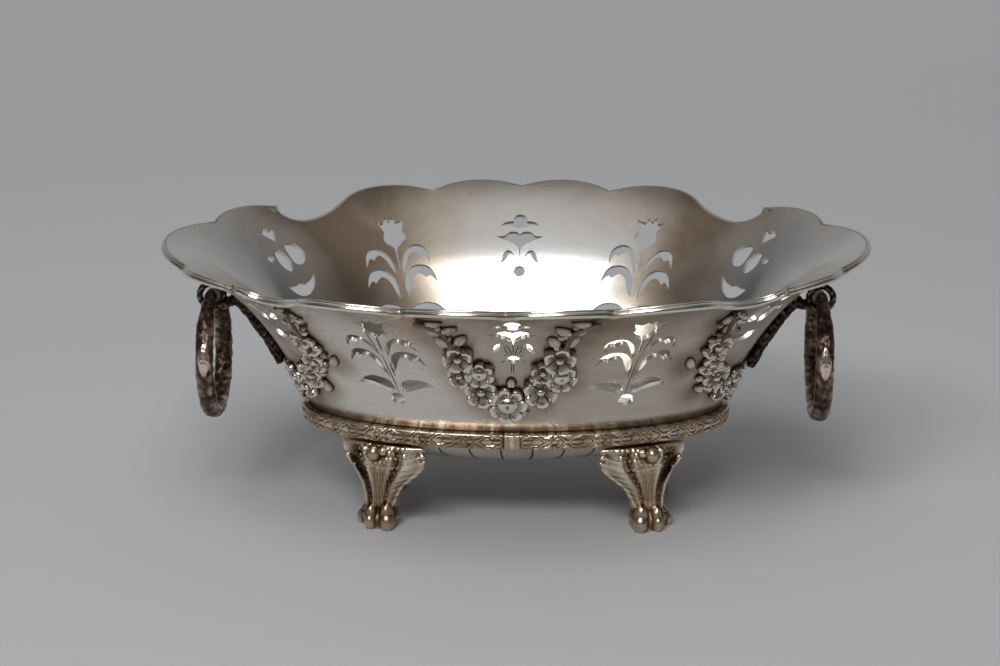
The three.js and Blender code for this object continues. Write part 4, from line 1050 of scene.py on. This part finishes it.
def dome(made, angle, up, size, height, slot=BERRY_METAL, shift=(0, 0), relief=1.0, navel=False):
    """A ball sunk into the wall so far that it stands up to the given height."""
    rows, columns = (34, 48) if navel else (14, 20)
    turn = turns(columns)
    tilt = np.linspace(0.0, 0.8 * np.pi, rows)[:, None]
    px = shift[0] + size * np.sin(tilt) * np.cos(turn)
    py = shift[1] + size * np.sin(tilt) * np.sin(turn)
    z = height - size + size * np.cos(tilt)
    values = relief * np.clip(0.5 + 0.8 * np.cos(tilt * 0.75), 0, 1)
    if navel:
        dent = hump(np.hypot(px - shift[0], py - (shift[1] + 0.3 * size)), 0, 0.16 * size)
        z = z - 0.2 * size * dent
        values = values * (1 - 0.85 * dent)
    made.grid(wall_place(angle, px, up + py, GAP + np.maximum(z, 0)), values, slot)


def leaf(made, angle, up, length, width, lie, height):
    along = np.linspace(-1, 1, 17)[:, None]
    across = np.linspace(-1, 1, 13)
    outline = np.clip(1 - np.abs(along) ** 2.2, 0.0, 1) ** 0.75 * (1 - 0.18 * along)
    x = width * outline * across
    y = length * along
    full = np.clip(outline, 0, 1)
    crown = (1 - np.abs(across) ** 2.4) * full
    vein = 0.28 * hump(across, 0, 0.12) * full
    ribs = 0.06 * np.cos(FULL_TURN * (along * 2.6 + np.abs(across)))
    z = height * np.clip(crown - vein + ribs * crown, 0, 1.1)
    relief = np.clip(0.12 + 0.8 * z / height, 0, 1)
    turn = math.radians(lie)
    px = x * math.cos(turn) - y * math.sin(turn)
    py = x * math.sin(turn) + y * math.cos(turn)
    made.grid(wall_place(angle, px, up + py, GAP + z), relief, loops=0)


# Half of each garland's stem: degrees from its middle and millimetres up the wall
SIDE_ROUTE = [(15.6, 60), (12, 53), (11, 42), (10.8, 29), (6.6, 20.5), (0, 14)]
END_ROUTE = [(46, 54), (42, 43), (40, 32), (36, 22.5), (30, 17), (19.5, 12.6), (9, 10.8), (0, 9.4)]
STEM_HEIGHT = 1.1
STEM_RADIUS = 0.75
SIDE_KNOTS = 34
END_KNOTS = 170


def make_garland(name, materials):
    made = Builder()
    at_end = name in END_NAMES
    lean = 0.0 if at_end else 0.3
    for number, (kind, angle, up, size, lie) in enumerate(GARLANDS[name]):
        spin = math.radians(lie) + number * 0.7
        if kind == "berry" and at_end:
            kind, size = "flower", size * 1.3
        if kind == "flower":
            cupped_flower(made, angle, up, size * 1.06, spin, 5 if size < SIX_PETALS_FROM else 6, 1.5, lean)
            dome(made, angle, up, size * 0.27, 1.9 + lean * size)
        elif kind == "berry":
            cupped_flower(made, angle, up, size * 1.75, spin, 7, 1.2, lean)
            dome(made, angle, up, size, size * 1.35, navel=size > NAVEL_FROM)
        elif kind == "bud":
            leaf(made, angle, up, size * 1.3, size * 0.95, 65 * (number % 3 - 1), 1.1)
        else:
            leaf(made, angle, up, size * 1.08, size * 0.58, lie, 0.95)
    route = np.array(END_ROUTE if at_end else SIDE_ROUTE)
    both = np.concatenate([route, (route[:-1] * [-1, 1])[::-1]])
    fine = np.linspace(0, len(both) - 1, 8 * len(both))
    angles = SIDE_ANGLES[name] + np.radians(np.interp(fine, range(len(both)), both[:, 0]))
    ups = np.interp(fine, range(len(both)), both[:, 1])
    origin, out, _ = wall_frame(angles, ups / wall_length(angles))
    made.tube(origin + out * STEM_HEIGHT, STEM_RADIUS, 8, 0.25, out)
    # Small knots of leaf and berry fill the spaces between the flowers
    spread, knot_height = 4.2, 1.3
    for _ in range(END_KNOTS if at_end else SIDE_KNOTS):
        pick = RNG.integers(0, len(fine))
        size = RNG.uniform(0.6, 1.2)
        shift = RNG.uniform(-spread, spread, 2) * [1, 0.8]
        dome(made, angles[pick], ups[pick], size, knot_height, CAST_METAL, shift, RNG.uniform(0.35, 0.9))
    piece = made.fill("flowers_" + name, materials, 60)
    finish_piece(piece, "dish", ["garland_" + name])


# Twigs of a bracket: place along the climb as a share, and 1 or -1 for its side
TWIGS = ((0.1, -1), (0.22, 1), (0.36, -1), (0.5, 1), (0.64, -1), (0.78, 1), (0.9, -1))
EYE_RADIUS = 3.6
CLIMB = (16.5, 41)
STEM_OFFSET = 1.8
TWIG_VOXEL = 0.24


def make_bracket(sign, name, materials):
    """A stem that climbs the wall and bends out to the eye that the ring hangs in, with short twigs."""
    body = Builder()
    ups = np.linspace(*CLIMB, 22)
    wobble = 0.18 * np.sin(ups * 0.9)
    climb = wall_place(SIDE_ANGLES[name], wobble, ups, np.full_like(ups, GAP + STEM_OFFSET))
    eye = np.array([sign * REACH, 0, PIVOT])
    end = eye + np.array([-sign * EYE_RADIUS, 0, -1.9])
    top = climb[-1]
    bend = np.array([(top[0] + end[0]) / 2, 0, end[2] - 0.5])
    t = np.linspace(0, 1, 12)[1:, None]
    arm = (1 - t) ** 2 * top + 2 * t * (1 - t) * bend + t**2 * end
    path = np.concatenate([climb, arm])
    number = np.arange(len(path))
    thick = np.interp(number, [0, len(climb), len(path) - 1], [2.15, 1.95, 1.25])
    knots = thick + 0.1 * np.sin(number * 0.7) + 0.06 * np.cos(number * 1.9)
    body.tube(path, knots, 14, ups=np.tile([0.0, 1, 0], (len(path), 1)))
    turn = np.linspace(0, FULL_TURN, 40)
    loop = eye + np.stack([np.cos(turn) * EYE_RADIUS, 0 * turn, np.sin(turn) * EYE_RADIUS], -1)
    body.tube(loop, 1.0, 10, ups=np.tile([0.0, 1, 0], (40, 1)))
    for along, side in TWIGS:
        base = path[int(along * len(climb))]
        tip = base + np.array([sign * 1.3, side * 2.2, 3.6])
        middle = (base + tip) / 2 + np.array([sign * 0.8, 0, 0.3])
        body.tube([base, middle, tip], [1.1, 1.3, 0.4], 8)
    points, faces, relief, normals = cast(body, TWIG_VOXEL)
    x, y, z = points.T
    bark = 0.5 + 0.5 * np.sin(2.6 * z + 2.2 * np.sin(1.7 * y) + 1.3 * np.sin(2.9 * x))
    points = points + normals * (0.16 * (bark - 0.5))[:, None]
    relief = np.clip(relief * (0.4 + 0.55 * bark) - 0.2, 0, 1)
    piece = solid_piece("twig_" + name, points, faces, relief, materials)
    finish_piece(piece, "dish", ["bracket_" + name])


def make_handle(sign, name, materials):
    """A drop ring: bark near its top, lobed leaves further down, and a long raised leaf on each limb, painted
    bright as a highlight.
    """
    columns, rows = 520, 56
    turn = turns(columns)[:, None]
    tilt = turns(rows)
    from_top = np.minimum(turn, FULL_TURN - turn) / np.pi
    leafy = rise(from_top, 0.12, 0.18)
    leafy = leafy * leafy * (3 - 2 * leafy)
    run = turn * HANDLE_RADIUS
    face = np.abs(np.cos(tilt))
    leaf_length = 5.4
    drift = 0.3 * np.sin(run * 0.31) + 0.16 * np.sin(run * 0.9 + 2 * tilt)
    wave = np.abs(((run / leaf_length + drift + 0.5 * (np.sin(tilt) > 0)) % 1) * 2 - 1)
    lobes = face * 1.15 - wave * 0.75
    leaves = np.clip(lobes, 0, 1) ** 0.7
    edge = hump(lobes, 0.08, 0.06)
    bark = 0.5 + 0.5 * np.sin(run * 1.9 + 2.0 * np.sin(3 * tilt))
    rough = RNG.normal(0, 1, (columns, rows))
    for _ in range(8):
        rough = sum(np.roll(rough, *move) for move in ((0, 0), (1, 0), (-1, 0), (1, 1), (-1, 1))) / 5
    rough = rough / rough.std()
    height = leafy * (0.3 * leaves - 0.16 * edge) + 0.12 * bark * (1 - leafy) + 0.075 * rough
    # The long leaf lies on the outer rim of each limb, half way down; its bright colour is a painted
    # highlight
    leaf_highlight = np.zeros((columns, rows))
    above_middle, half_length = 0.17, 4.4
    for middle in (0.5 * np.pi - above_middle, 1.5 * np.pi + above_middle):
        gap = (turn - middle) * HANDLE_RADIUS / half_length
        around = np.sin(tilt) > 0.1
        blade = np.clip(1 - np.abs(gap) ** 1.6 - (np.cos(tilt) / 0.72) ** 2, 0, 1) * around
        vein = hump(np.cos(tilt), 0, 0.09) + 0.4 * np.cos(9 * gap + 5 * face) ** 2
        leaf_highlight = np.maximum(leaf_highlight, blade**0.5 * (1 - 0.5 * vein))
    height = height * (1 - 0.8 * (leaf_highlight > 0)) + 0.45 * leaf_highlight
    half_thick = 1.8
    half_wide = half_thick + 0.6 * leafy + height
    half_deep = half_thick + 0.3 * leafy + height * 0.8
    centre = np.array([sign * REACH, 0, PIVOT - HANDLE_RADIUS])
    outward = np.stack([0 * turn, np.sin(turn), np.cos(turn)], -1)
    ring = (
        centre + HANDLE_RADIUS * outward
        + (half_wide * np.cos(tilt))[..., None] * np.array([1.0, 0, 0])
        + (half_deep * np.sin(tilt))[..., None] * outward
    )
    lower = rise(from_top, 0.55, 0.3)
    relief = 0.3 + (0.28 + 0.12 * lower) * leafy * leaves + 0.09 * rough - 0.14 * edge
    # The long leaf's colour is set near the brightest of the metal: a painted highlight
    relief = np.clip(np.where(leaf_highlight > 0, 0.6 + 0.5 * leaf_highlight, relief), 0, 1)
    made = Builder()
    made.grid(ring, relief, loops=2)
    piece = made.fill("ring_" + name, materials)
    finish_piece(piece, "handle_" + name, ["handle_ring_" + name])


# Chased lines: their widths beside the piercing and on the belly, how far over the metal they lie, and for
# the belly's lines how far apart they start and the radius that turns this into angles
LINE_WIDTH = 0.28
BELLY_LINE_WIDTH = 0.55
LINE_LIFT = 0.035
BELLY_LINE_STEP = 8.2
BELLY_LINE_RADIUS = 55


def ribbon(made, points, normals, width):
    """A fine dark line on a surface: a strip a little over it."""
    along = unit(np.gradient(points, axis=0))
    side = unit(np.cross(along, normals))
    taper = np.sin(np.linspace(0.12, np.pi - 0.12, len(points)))[:, None] ** 0.5
    lifted = points + normals * LINE_LIFT
    half = side * width / 2 * taper
    made.grid(np.stack([lifted - half, lifted + half], 1), 0.0, loops=0)


def make_lines(material):
    made = Builder()
    for _, strokes, degrees, side in MOTIFS:
        for stroke in strokes:
            fine = np.linspace(0, len(stroke) - 1, 14)
            x, y = (np.interp(fine, range(len(stroke)), places) for places in zip(*stroke))
            origin, out, _ = wall_frame(*wall_spot(math.radians(degrees), side * x, y))
            ribbon(made, origin, out, LINE_WIDTH)
    # Slanted lines chased into the belly
    drop = np.linspace(0.16, 1.15, 16)
    for across in np.arange(-44, 45, BELLY_LINE_STEP):
        turn = -np.pi / 2 + across / BELLY_LINE_RADIUS * (1 + 0.25 * drop)
        for flip in (1, -1):
            x = SEAT[0] * np.cos(turn) * np.cos(drop)
            y = SEAT[1] * np.sin(turn) * np.cos(drop) * flip
            z = SEAT[2] - BELLY_DEPTH * np.sin(drop)
            points = np.stack([x, y, z], -1)
            normals = unit(np.stack([x / SEAT[0] ** 2, y / SEAT[1] ** 2, (z - SEAT[2]) / BELLY_DEPTH**2], -1))
            ribbon(made, points, normals, BELLY_LINE_WIDTH)
    piece = made.fill("chased_lines", [material])
    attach(piece, "dish")


# Materials


def set_stops(ramp, stops):
    while len(ramp.elements) < len(stops):
        ramp.elements.new(0.5)
    for element, (place, colour) in zip(ramp.elements, stops):
        element.position = place
        element.color = (*colour, 1)


class Nodes:
    """A new material's nodes. What makes a node gives back its output."""

    def __init__(self, name):
        self.material = bpy.data.materials.new(name)
        self.material.use_nodes = True
        self.tree = self.material.node_tree
        self.tree.nodes.clear()
        self.shader = self.add("ShaderNodeBsdfPrincipled")
        self.link(self.shader.outputs["BSDF"], self.add("ShaderNodeOutputMaterial"), "Surface")

    def add(self, kind, values=(), **settings):
        """A node with some of its inputs and settings set."""
        node = self.tree.nodes.new(kind)
        for key, value in settings.items():
            setattr(node, key, value)
        for key, value in dict(values).items():
            node.inputs[key].default_value = value
        return node

    def link(self, output, target, socket):
        self.tree.links.new(output, target.inputs[socket])

    def relief(self):
        return self.add("ShaderNodeAttribute", attribute_name="relief").outputs["Fac"]

    def noise(self, scale, detail, rough=0.55, distortion=0.0, stretch=(1, 1, 1)):
        mapping = self.add("ShaderNodeMapping", {"Scale": stretch})
        self.link(self.add("ShaderNodeTexCoord").outputs["Object"], mapping, "Vector")
        values = {"Scale": scale, "Detail": detail, "Roughness": rough, "Distortion": distortion}
        node = self.add("ShaderNodeTexNoise", values)
        self.link(mapping.outputs["Vector"], node, "Vector")
        return node.outputs["Fac"]

    def math(self, operation, first, second, clamp=False):
        node = self.add("ShaderNodeMath", operation=operation, use_clamp=clamp)
        for socket, value in enumerate((first, second)):
            if isinstance(value, float):
                node.inputs[socket].default_value = value
            else:
                self.link(value, node, socket)
        return node.outputs["Value"]

    def mixed_in(self, first, second, share):
        return self.math("ADD", first, self.math("MULTIPLY", second, share))

    def ramp(self, source, stops):
        node = self.add("ShaderNodeValToRGB")
        set_stops(node.color_ramp, stops)
        self.link(source, node, "Fac")
        return node.outputs["Color"]

    def metal(self, colour, wear, roughness, bumps):
        """Links colour, roughness over a range, and bumps from (height, strength, distance in metres)."""
        self.link(colour, self.shader, "Base Color")
        rough = self.add("ShaderNodeMapRange", {"To Min": roughness[0], "To Max": roughness[1]})
        self.link(wear, rough, "Value")
        self.link(rough.outputs["Result"], self.shader, "Roughness")
        self.shader.inputs["Metallic"].default_value = 1.0
        previous = None
        for height, strength, distance in bumps:
            node = self.add("ShaderNodeBump", {"Strength": strength, "Distance": distance})
            self.link(height, node, "Height")
            if previous is not None:
                self.link(previous, node, "Normal")
            previous = node.outputs["Normal"]
        self.link(previous, self.shader, "Normal")
        return self.material


def sheet_material(name, clean, tarnish, dark, roughness, brush):
    """Polished sheet with tarnish where the relief value is high, and on the inside painted shade too, broken
    up by clouds and brush lines.
    """
    n = Nodes(name)
    clouds = n.noise(38, 6, 0.6, 0.6)
    mixed = n.math("SUBTRACT", n.mixed_in(n.relief(), clouds, 0.7), 0.38, True)
    colour = n.ramp(mixed, [(0.0, clean), (0.5, tarnish), (1.0, dark)])
    specks = n.ramp(n.noise(330, 3, 0.6), [(0.66, (0, 0, 0)), (0.78, (1, 1, 1))])
    # A colour mix node has its factor, colours and result at these places
    factor, under, over, result = 0, 6, 7, 2
    blend = n.add("ShaderNodeMix", {over: (*dark, 1)}, data_type="RGBA")
    n.link(n.math("MULTIPLY", specks, mixed), blend, factor)
    n.link(colour, blend, under)
    lines = n.noise(60, 5, 0.7, stretch=(1, 1, brush))
    wear = n.math("ADD", n.math("MULTIPLY", lines, 0.6), n.math("MULTIPLY", mixed, 0.5), True)
    bumps = [(lines, 0.12, 0.00012), (n.noise(16, 2), 0.25, 0.0006)]
    return n.metal(blend.outputs[result], wear, roughness, bumps)


def cast_material(name, roughness, stops, grain=0.2, waves=0.3):
    """Cast metal whose hollows stay dark and whose high places are rubbed bright."""
    n = Nodes(name)
    clouds = n.noise(140, 5, 0.6)
    pushed = n.mixed_in(n.mixed_in(n.relief(), clouds, 0.34), n.noise(36, 3), 0.3)
    pushed = n.math("SUBTRACT", pushed, 0.32, True)
    bumps = [(n.noise(900, 3), grain, 0.0001), (clouds, waves, 0.0003)]
    return n.metal(n.ramp(pushed, stops), pushed, roughness, bumps)


# Clean, tarnished and darkest colour of the sheet, roughness clean and dull, stretch of the brush lines
outside_silver = sheet_material(
    "silver_outside", (0.95, 0.91, 0.85), (0.6, 0.51, 0.41), (0.24, 0.18, 0.13), (0.2, 0.4), 9)
# On the inside the tarnished and darkest colours also paint shade beside the lamp's reflection
inside_silver = sheet_material(
    "silver_inside", (0.95, 0.94, 0.92), (0.72, 0.62, 0.51), (0.3, 0.22, 0.16), (0.14, 0.28), 12)
belly_silver = sheet_material(
    "silver_belly", (0.8, 0.76, 0.7), (0.5, 0.43, 0.36), (0.14, 0.1, 0.075), (0.3, 0.5), 6)

# Roughness in the hollows and on the high places of the cast metal, and its colours from the hollows up
cut_silver = cast_material(
    "silver_cut_edge", (0.4, 0.3), [(0.0, (0.86, 0.82, 0.76)), (1.0, (0.95, 0.92, 0.88))])
rim_silver = cast_material(
    "silver_rim", (0.34, 0.16),
    [(0.0, (0.3, 0.21, 0.13)), (0.35, (0.62, 0.5, 0.36)), (1.0, (0.86, 0.81, 0.74))], 0.05, 0.04)
rose_silver = cast_material(
    "silver_rose", (0.48, 0.25),
    [(0.0, (0.035, 0.02, 0.012)), (0.3, (0.24, 0.155, 0.1)), (0.6, (0.58, 0.44, 0.31)),
     (1.0, (0.96, 0.87, 0.73))])
relief_silver = cast_material(
    "silver_relief", (0.42, 0.2),
    [(0.0, (0.05, 0.038, 0.03)), (0.3, (0.27, 0.22, 0.165)), (0.65, (0.63, 0.56, 0.47)),
     (1.0, (0.95, 0.89, 0.8))])
berry_silver = cast_material(
    "silver_berry", (0.4, 0.22),
    [(0.0, (0.05, 0.035, 0.03)), (0.4, (0.42, 0.38, 0.34)), (1.0, (0.86, 0.82, 0.76))], 0.05, 0.1)
dark_silver = cast_material(
    "silver_dark", (0.46, 0.24),
    [(0.0, (0.012, 0.008, 0.007)), (0.35, (0.1, 0.066, 0.052)), (0.62, (0.36, 0.25, 0.19)),
     (0.88, (0.9, 0.74, 0.6))])
line_silver = cast_material(
    "silver_chased", (0.6, 0.5), [(0.0, (0.03, 0.022, 0.018)), (1.0, (0.06, 0.045, 0.035))])

make_bowl([outside_silver, inside_silver, cut_silver, belly_silver])
make_border([rim_silver, inside_silver])
make_ring([rose_silver])
make_feet([rose_silver])
for garland in GARLANDS:
    make_garland(garland, [relief_silver, berry_silver])
for sign_, name_ in ((-1, "left"), (1, "right")):
    make_bracket(sign_, name_, [dark_silver])
    make_handle(sign_, name_, [dark_silver])
make_lines(line_silver)


# Floor and backdrop in one sweep, in metres: how far back and how high it runs
SWEEP = np.array([
    (-2.2, 0), (-0.4, 0), (-0.1, 0), (0.2, 0), (0.5, 0), (0.9, 0), (1.15, 0.02), (1.35, 0.09), (1.5, 0.2),
    (1.6, 0.36), (1.65, 0.6), (1.65, 2.4),
])
FLOOR_HALF = 3


def make_floor():
    n = Nodes("backdrop")
    depth_share = n.relief()
    shade = n.ramp(depth_share, [(0.0, (0.52, 0.525, 0.535)), (1.0, (0.8, 0.81, 0.825))])
    n.link(shade, n.shader, "Base Color")
    n.shader.inputs["Emission Color"].default_value = (1, 1, 1, 1)
    n.link(n.math("MULTIPLY", depth_share, 0.06), n.shader, "Emission Strength")
    n.shader.inputs["Roughness"].default_value = 0.85
    n.shader.inputs["Specular IOR Level"].default_value = 0.1
    depth, height = SWEEP[:, :1], SWEEP[:, 1:]
    made = Builder()
    across = np.linspace(-FLOOR_HALF, FLOOR_HALF, 3)
    points = np.stack(np.broadcast_arrays(across, depth, height), -1) / MILLIMETRE
    # The floor grows lighter with its depth from just before the dish on
    made.grid(points, np.clip((depth + 0.1) / 1.2, 0, 1), loops=0)
    floor = made.fill("floor", [n.material])
    rounding = floor.modifiers.new("round", "SUBSURF")
    rounding.levels = 2
    rounding.render_levels = 3


def add_lamp(name, place, aim, size, power):
    data = bpy.data.lights.new(name, "AREA")
    data.shape = "RECTANGLE"
    data.size, data.size_y = size
    data.energy = power
    lamp = bpy.data.objects.new(name, data)
    bpy.context.scene.collection.objects.link(lamp)
    lamp.location = place
    lamp.rotation_euler = (Vector(aim) - Vector(place)).to_track_quat("-Z", "Y").to_euler()


def make_world():
    """A dim room that grows lighter overhead."""
    world = bpy.data.worlds.new("studio")
    world.use_nodes = True
    tree = world.node_tree
    place = tree.nodes.new("ShaderNodeTexCoord")
    parts = tree.nodes.new("ShaderNodeSeparateXYZ")
    ramp = tree.nodes.new("ShaderNodeValToRGB")
    lights = ((0.0, 0.055), (0.5, 0.06), (0.8, 0.17), (0.93, 0.42), (1.0, 0.5))
    set_stops(ramp.color_ramp, [(at, (value, value * 1.01, value * 1.03)) for at, value in lights])
    tree.links.new(place.outputs["Generated"], parts.inputs["Vector"])
    tree.links.new(parts.outputs["Z"], ramp.inputs["Fac"])
    tree.links.new(ramp.outputs["Color"], tree.nodes["Background"].inputs["Color"])
    bpy.context.scene.world = world


def make_camera():
    # Fit of the photograph: elevation, turn, distance, focal length in pixels, aim in millimetres, and roll
    elevation = 0.2967
    turn = -0.04028
    distance = 666.34
    focal = 2220.5
    photo_width = 1000
    # The fit's height datum lies this much over the plane that the feet stand on
    datum_drop = 1.6
    aim_x, aim_z = -4.478, 57.33 - datum_drop
    roll = 0.006236
    back = Vector((0, -math.cos(elevation), math.sin(elevation)))
    place = Vector((aim_x, 0, aim_z)) + distance * back
    spin = Matrix.Rotation(-turn, 3, "Z")
    look = spin @ -back
    up = spin @ Vector((0, math.sin(elevation), math.cos(elevation)))
    right = look.cross(up).normalized()
    tilt = Matrix.Rotation(roll, 3, look)
    right, up = tilt @ right, tilt @ up
    data = bpy.data.cameras.new("camera")
    data.sensor_width = 36
    data.lens = focal * data.sensor_width / photo_width
    data.clip_start, data.clip_end = 0.01, 20
    camera = bpy.data.objects.new("camera", data)
    bpy.context.scene.collection.objects.link(camera)
    basis = Matrix((right, up, -look)).transposed()
    camera.matrix_world = Matrix.Translation(spin @ place * MILLIMETRE) @ basis.to_4x4()
    bpy.context.scene.camera = camera


make_floor()
make_world()
make_camera()
add_lamp("key", (-0.2, -0.8, 0.78), (0, 0, 0.04), (0.66, 0.2), 5.3)
add_lamp("high", (-0.04, -0.66, 1.13), (0, 0, 0.05), (0.66, 0.6), 4.4)
bpy.context.scene.view_settings.view_transform = "Standard"
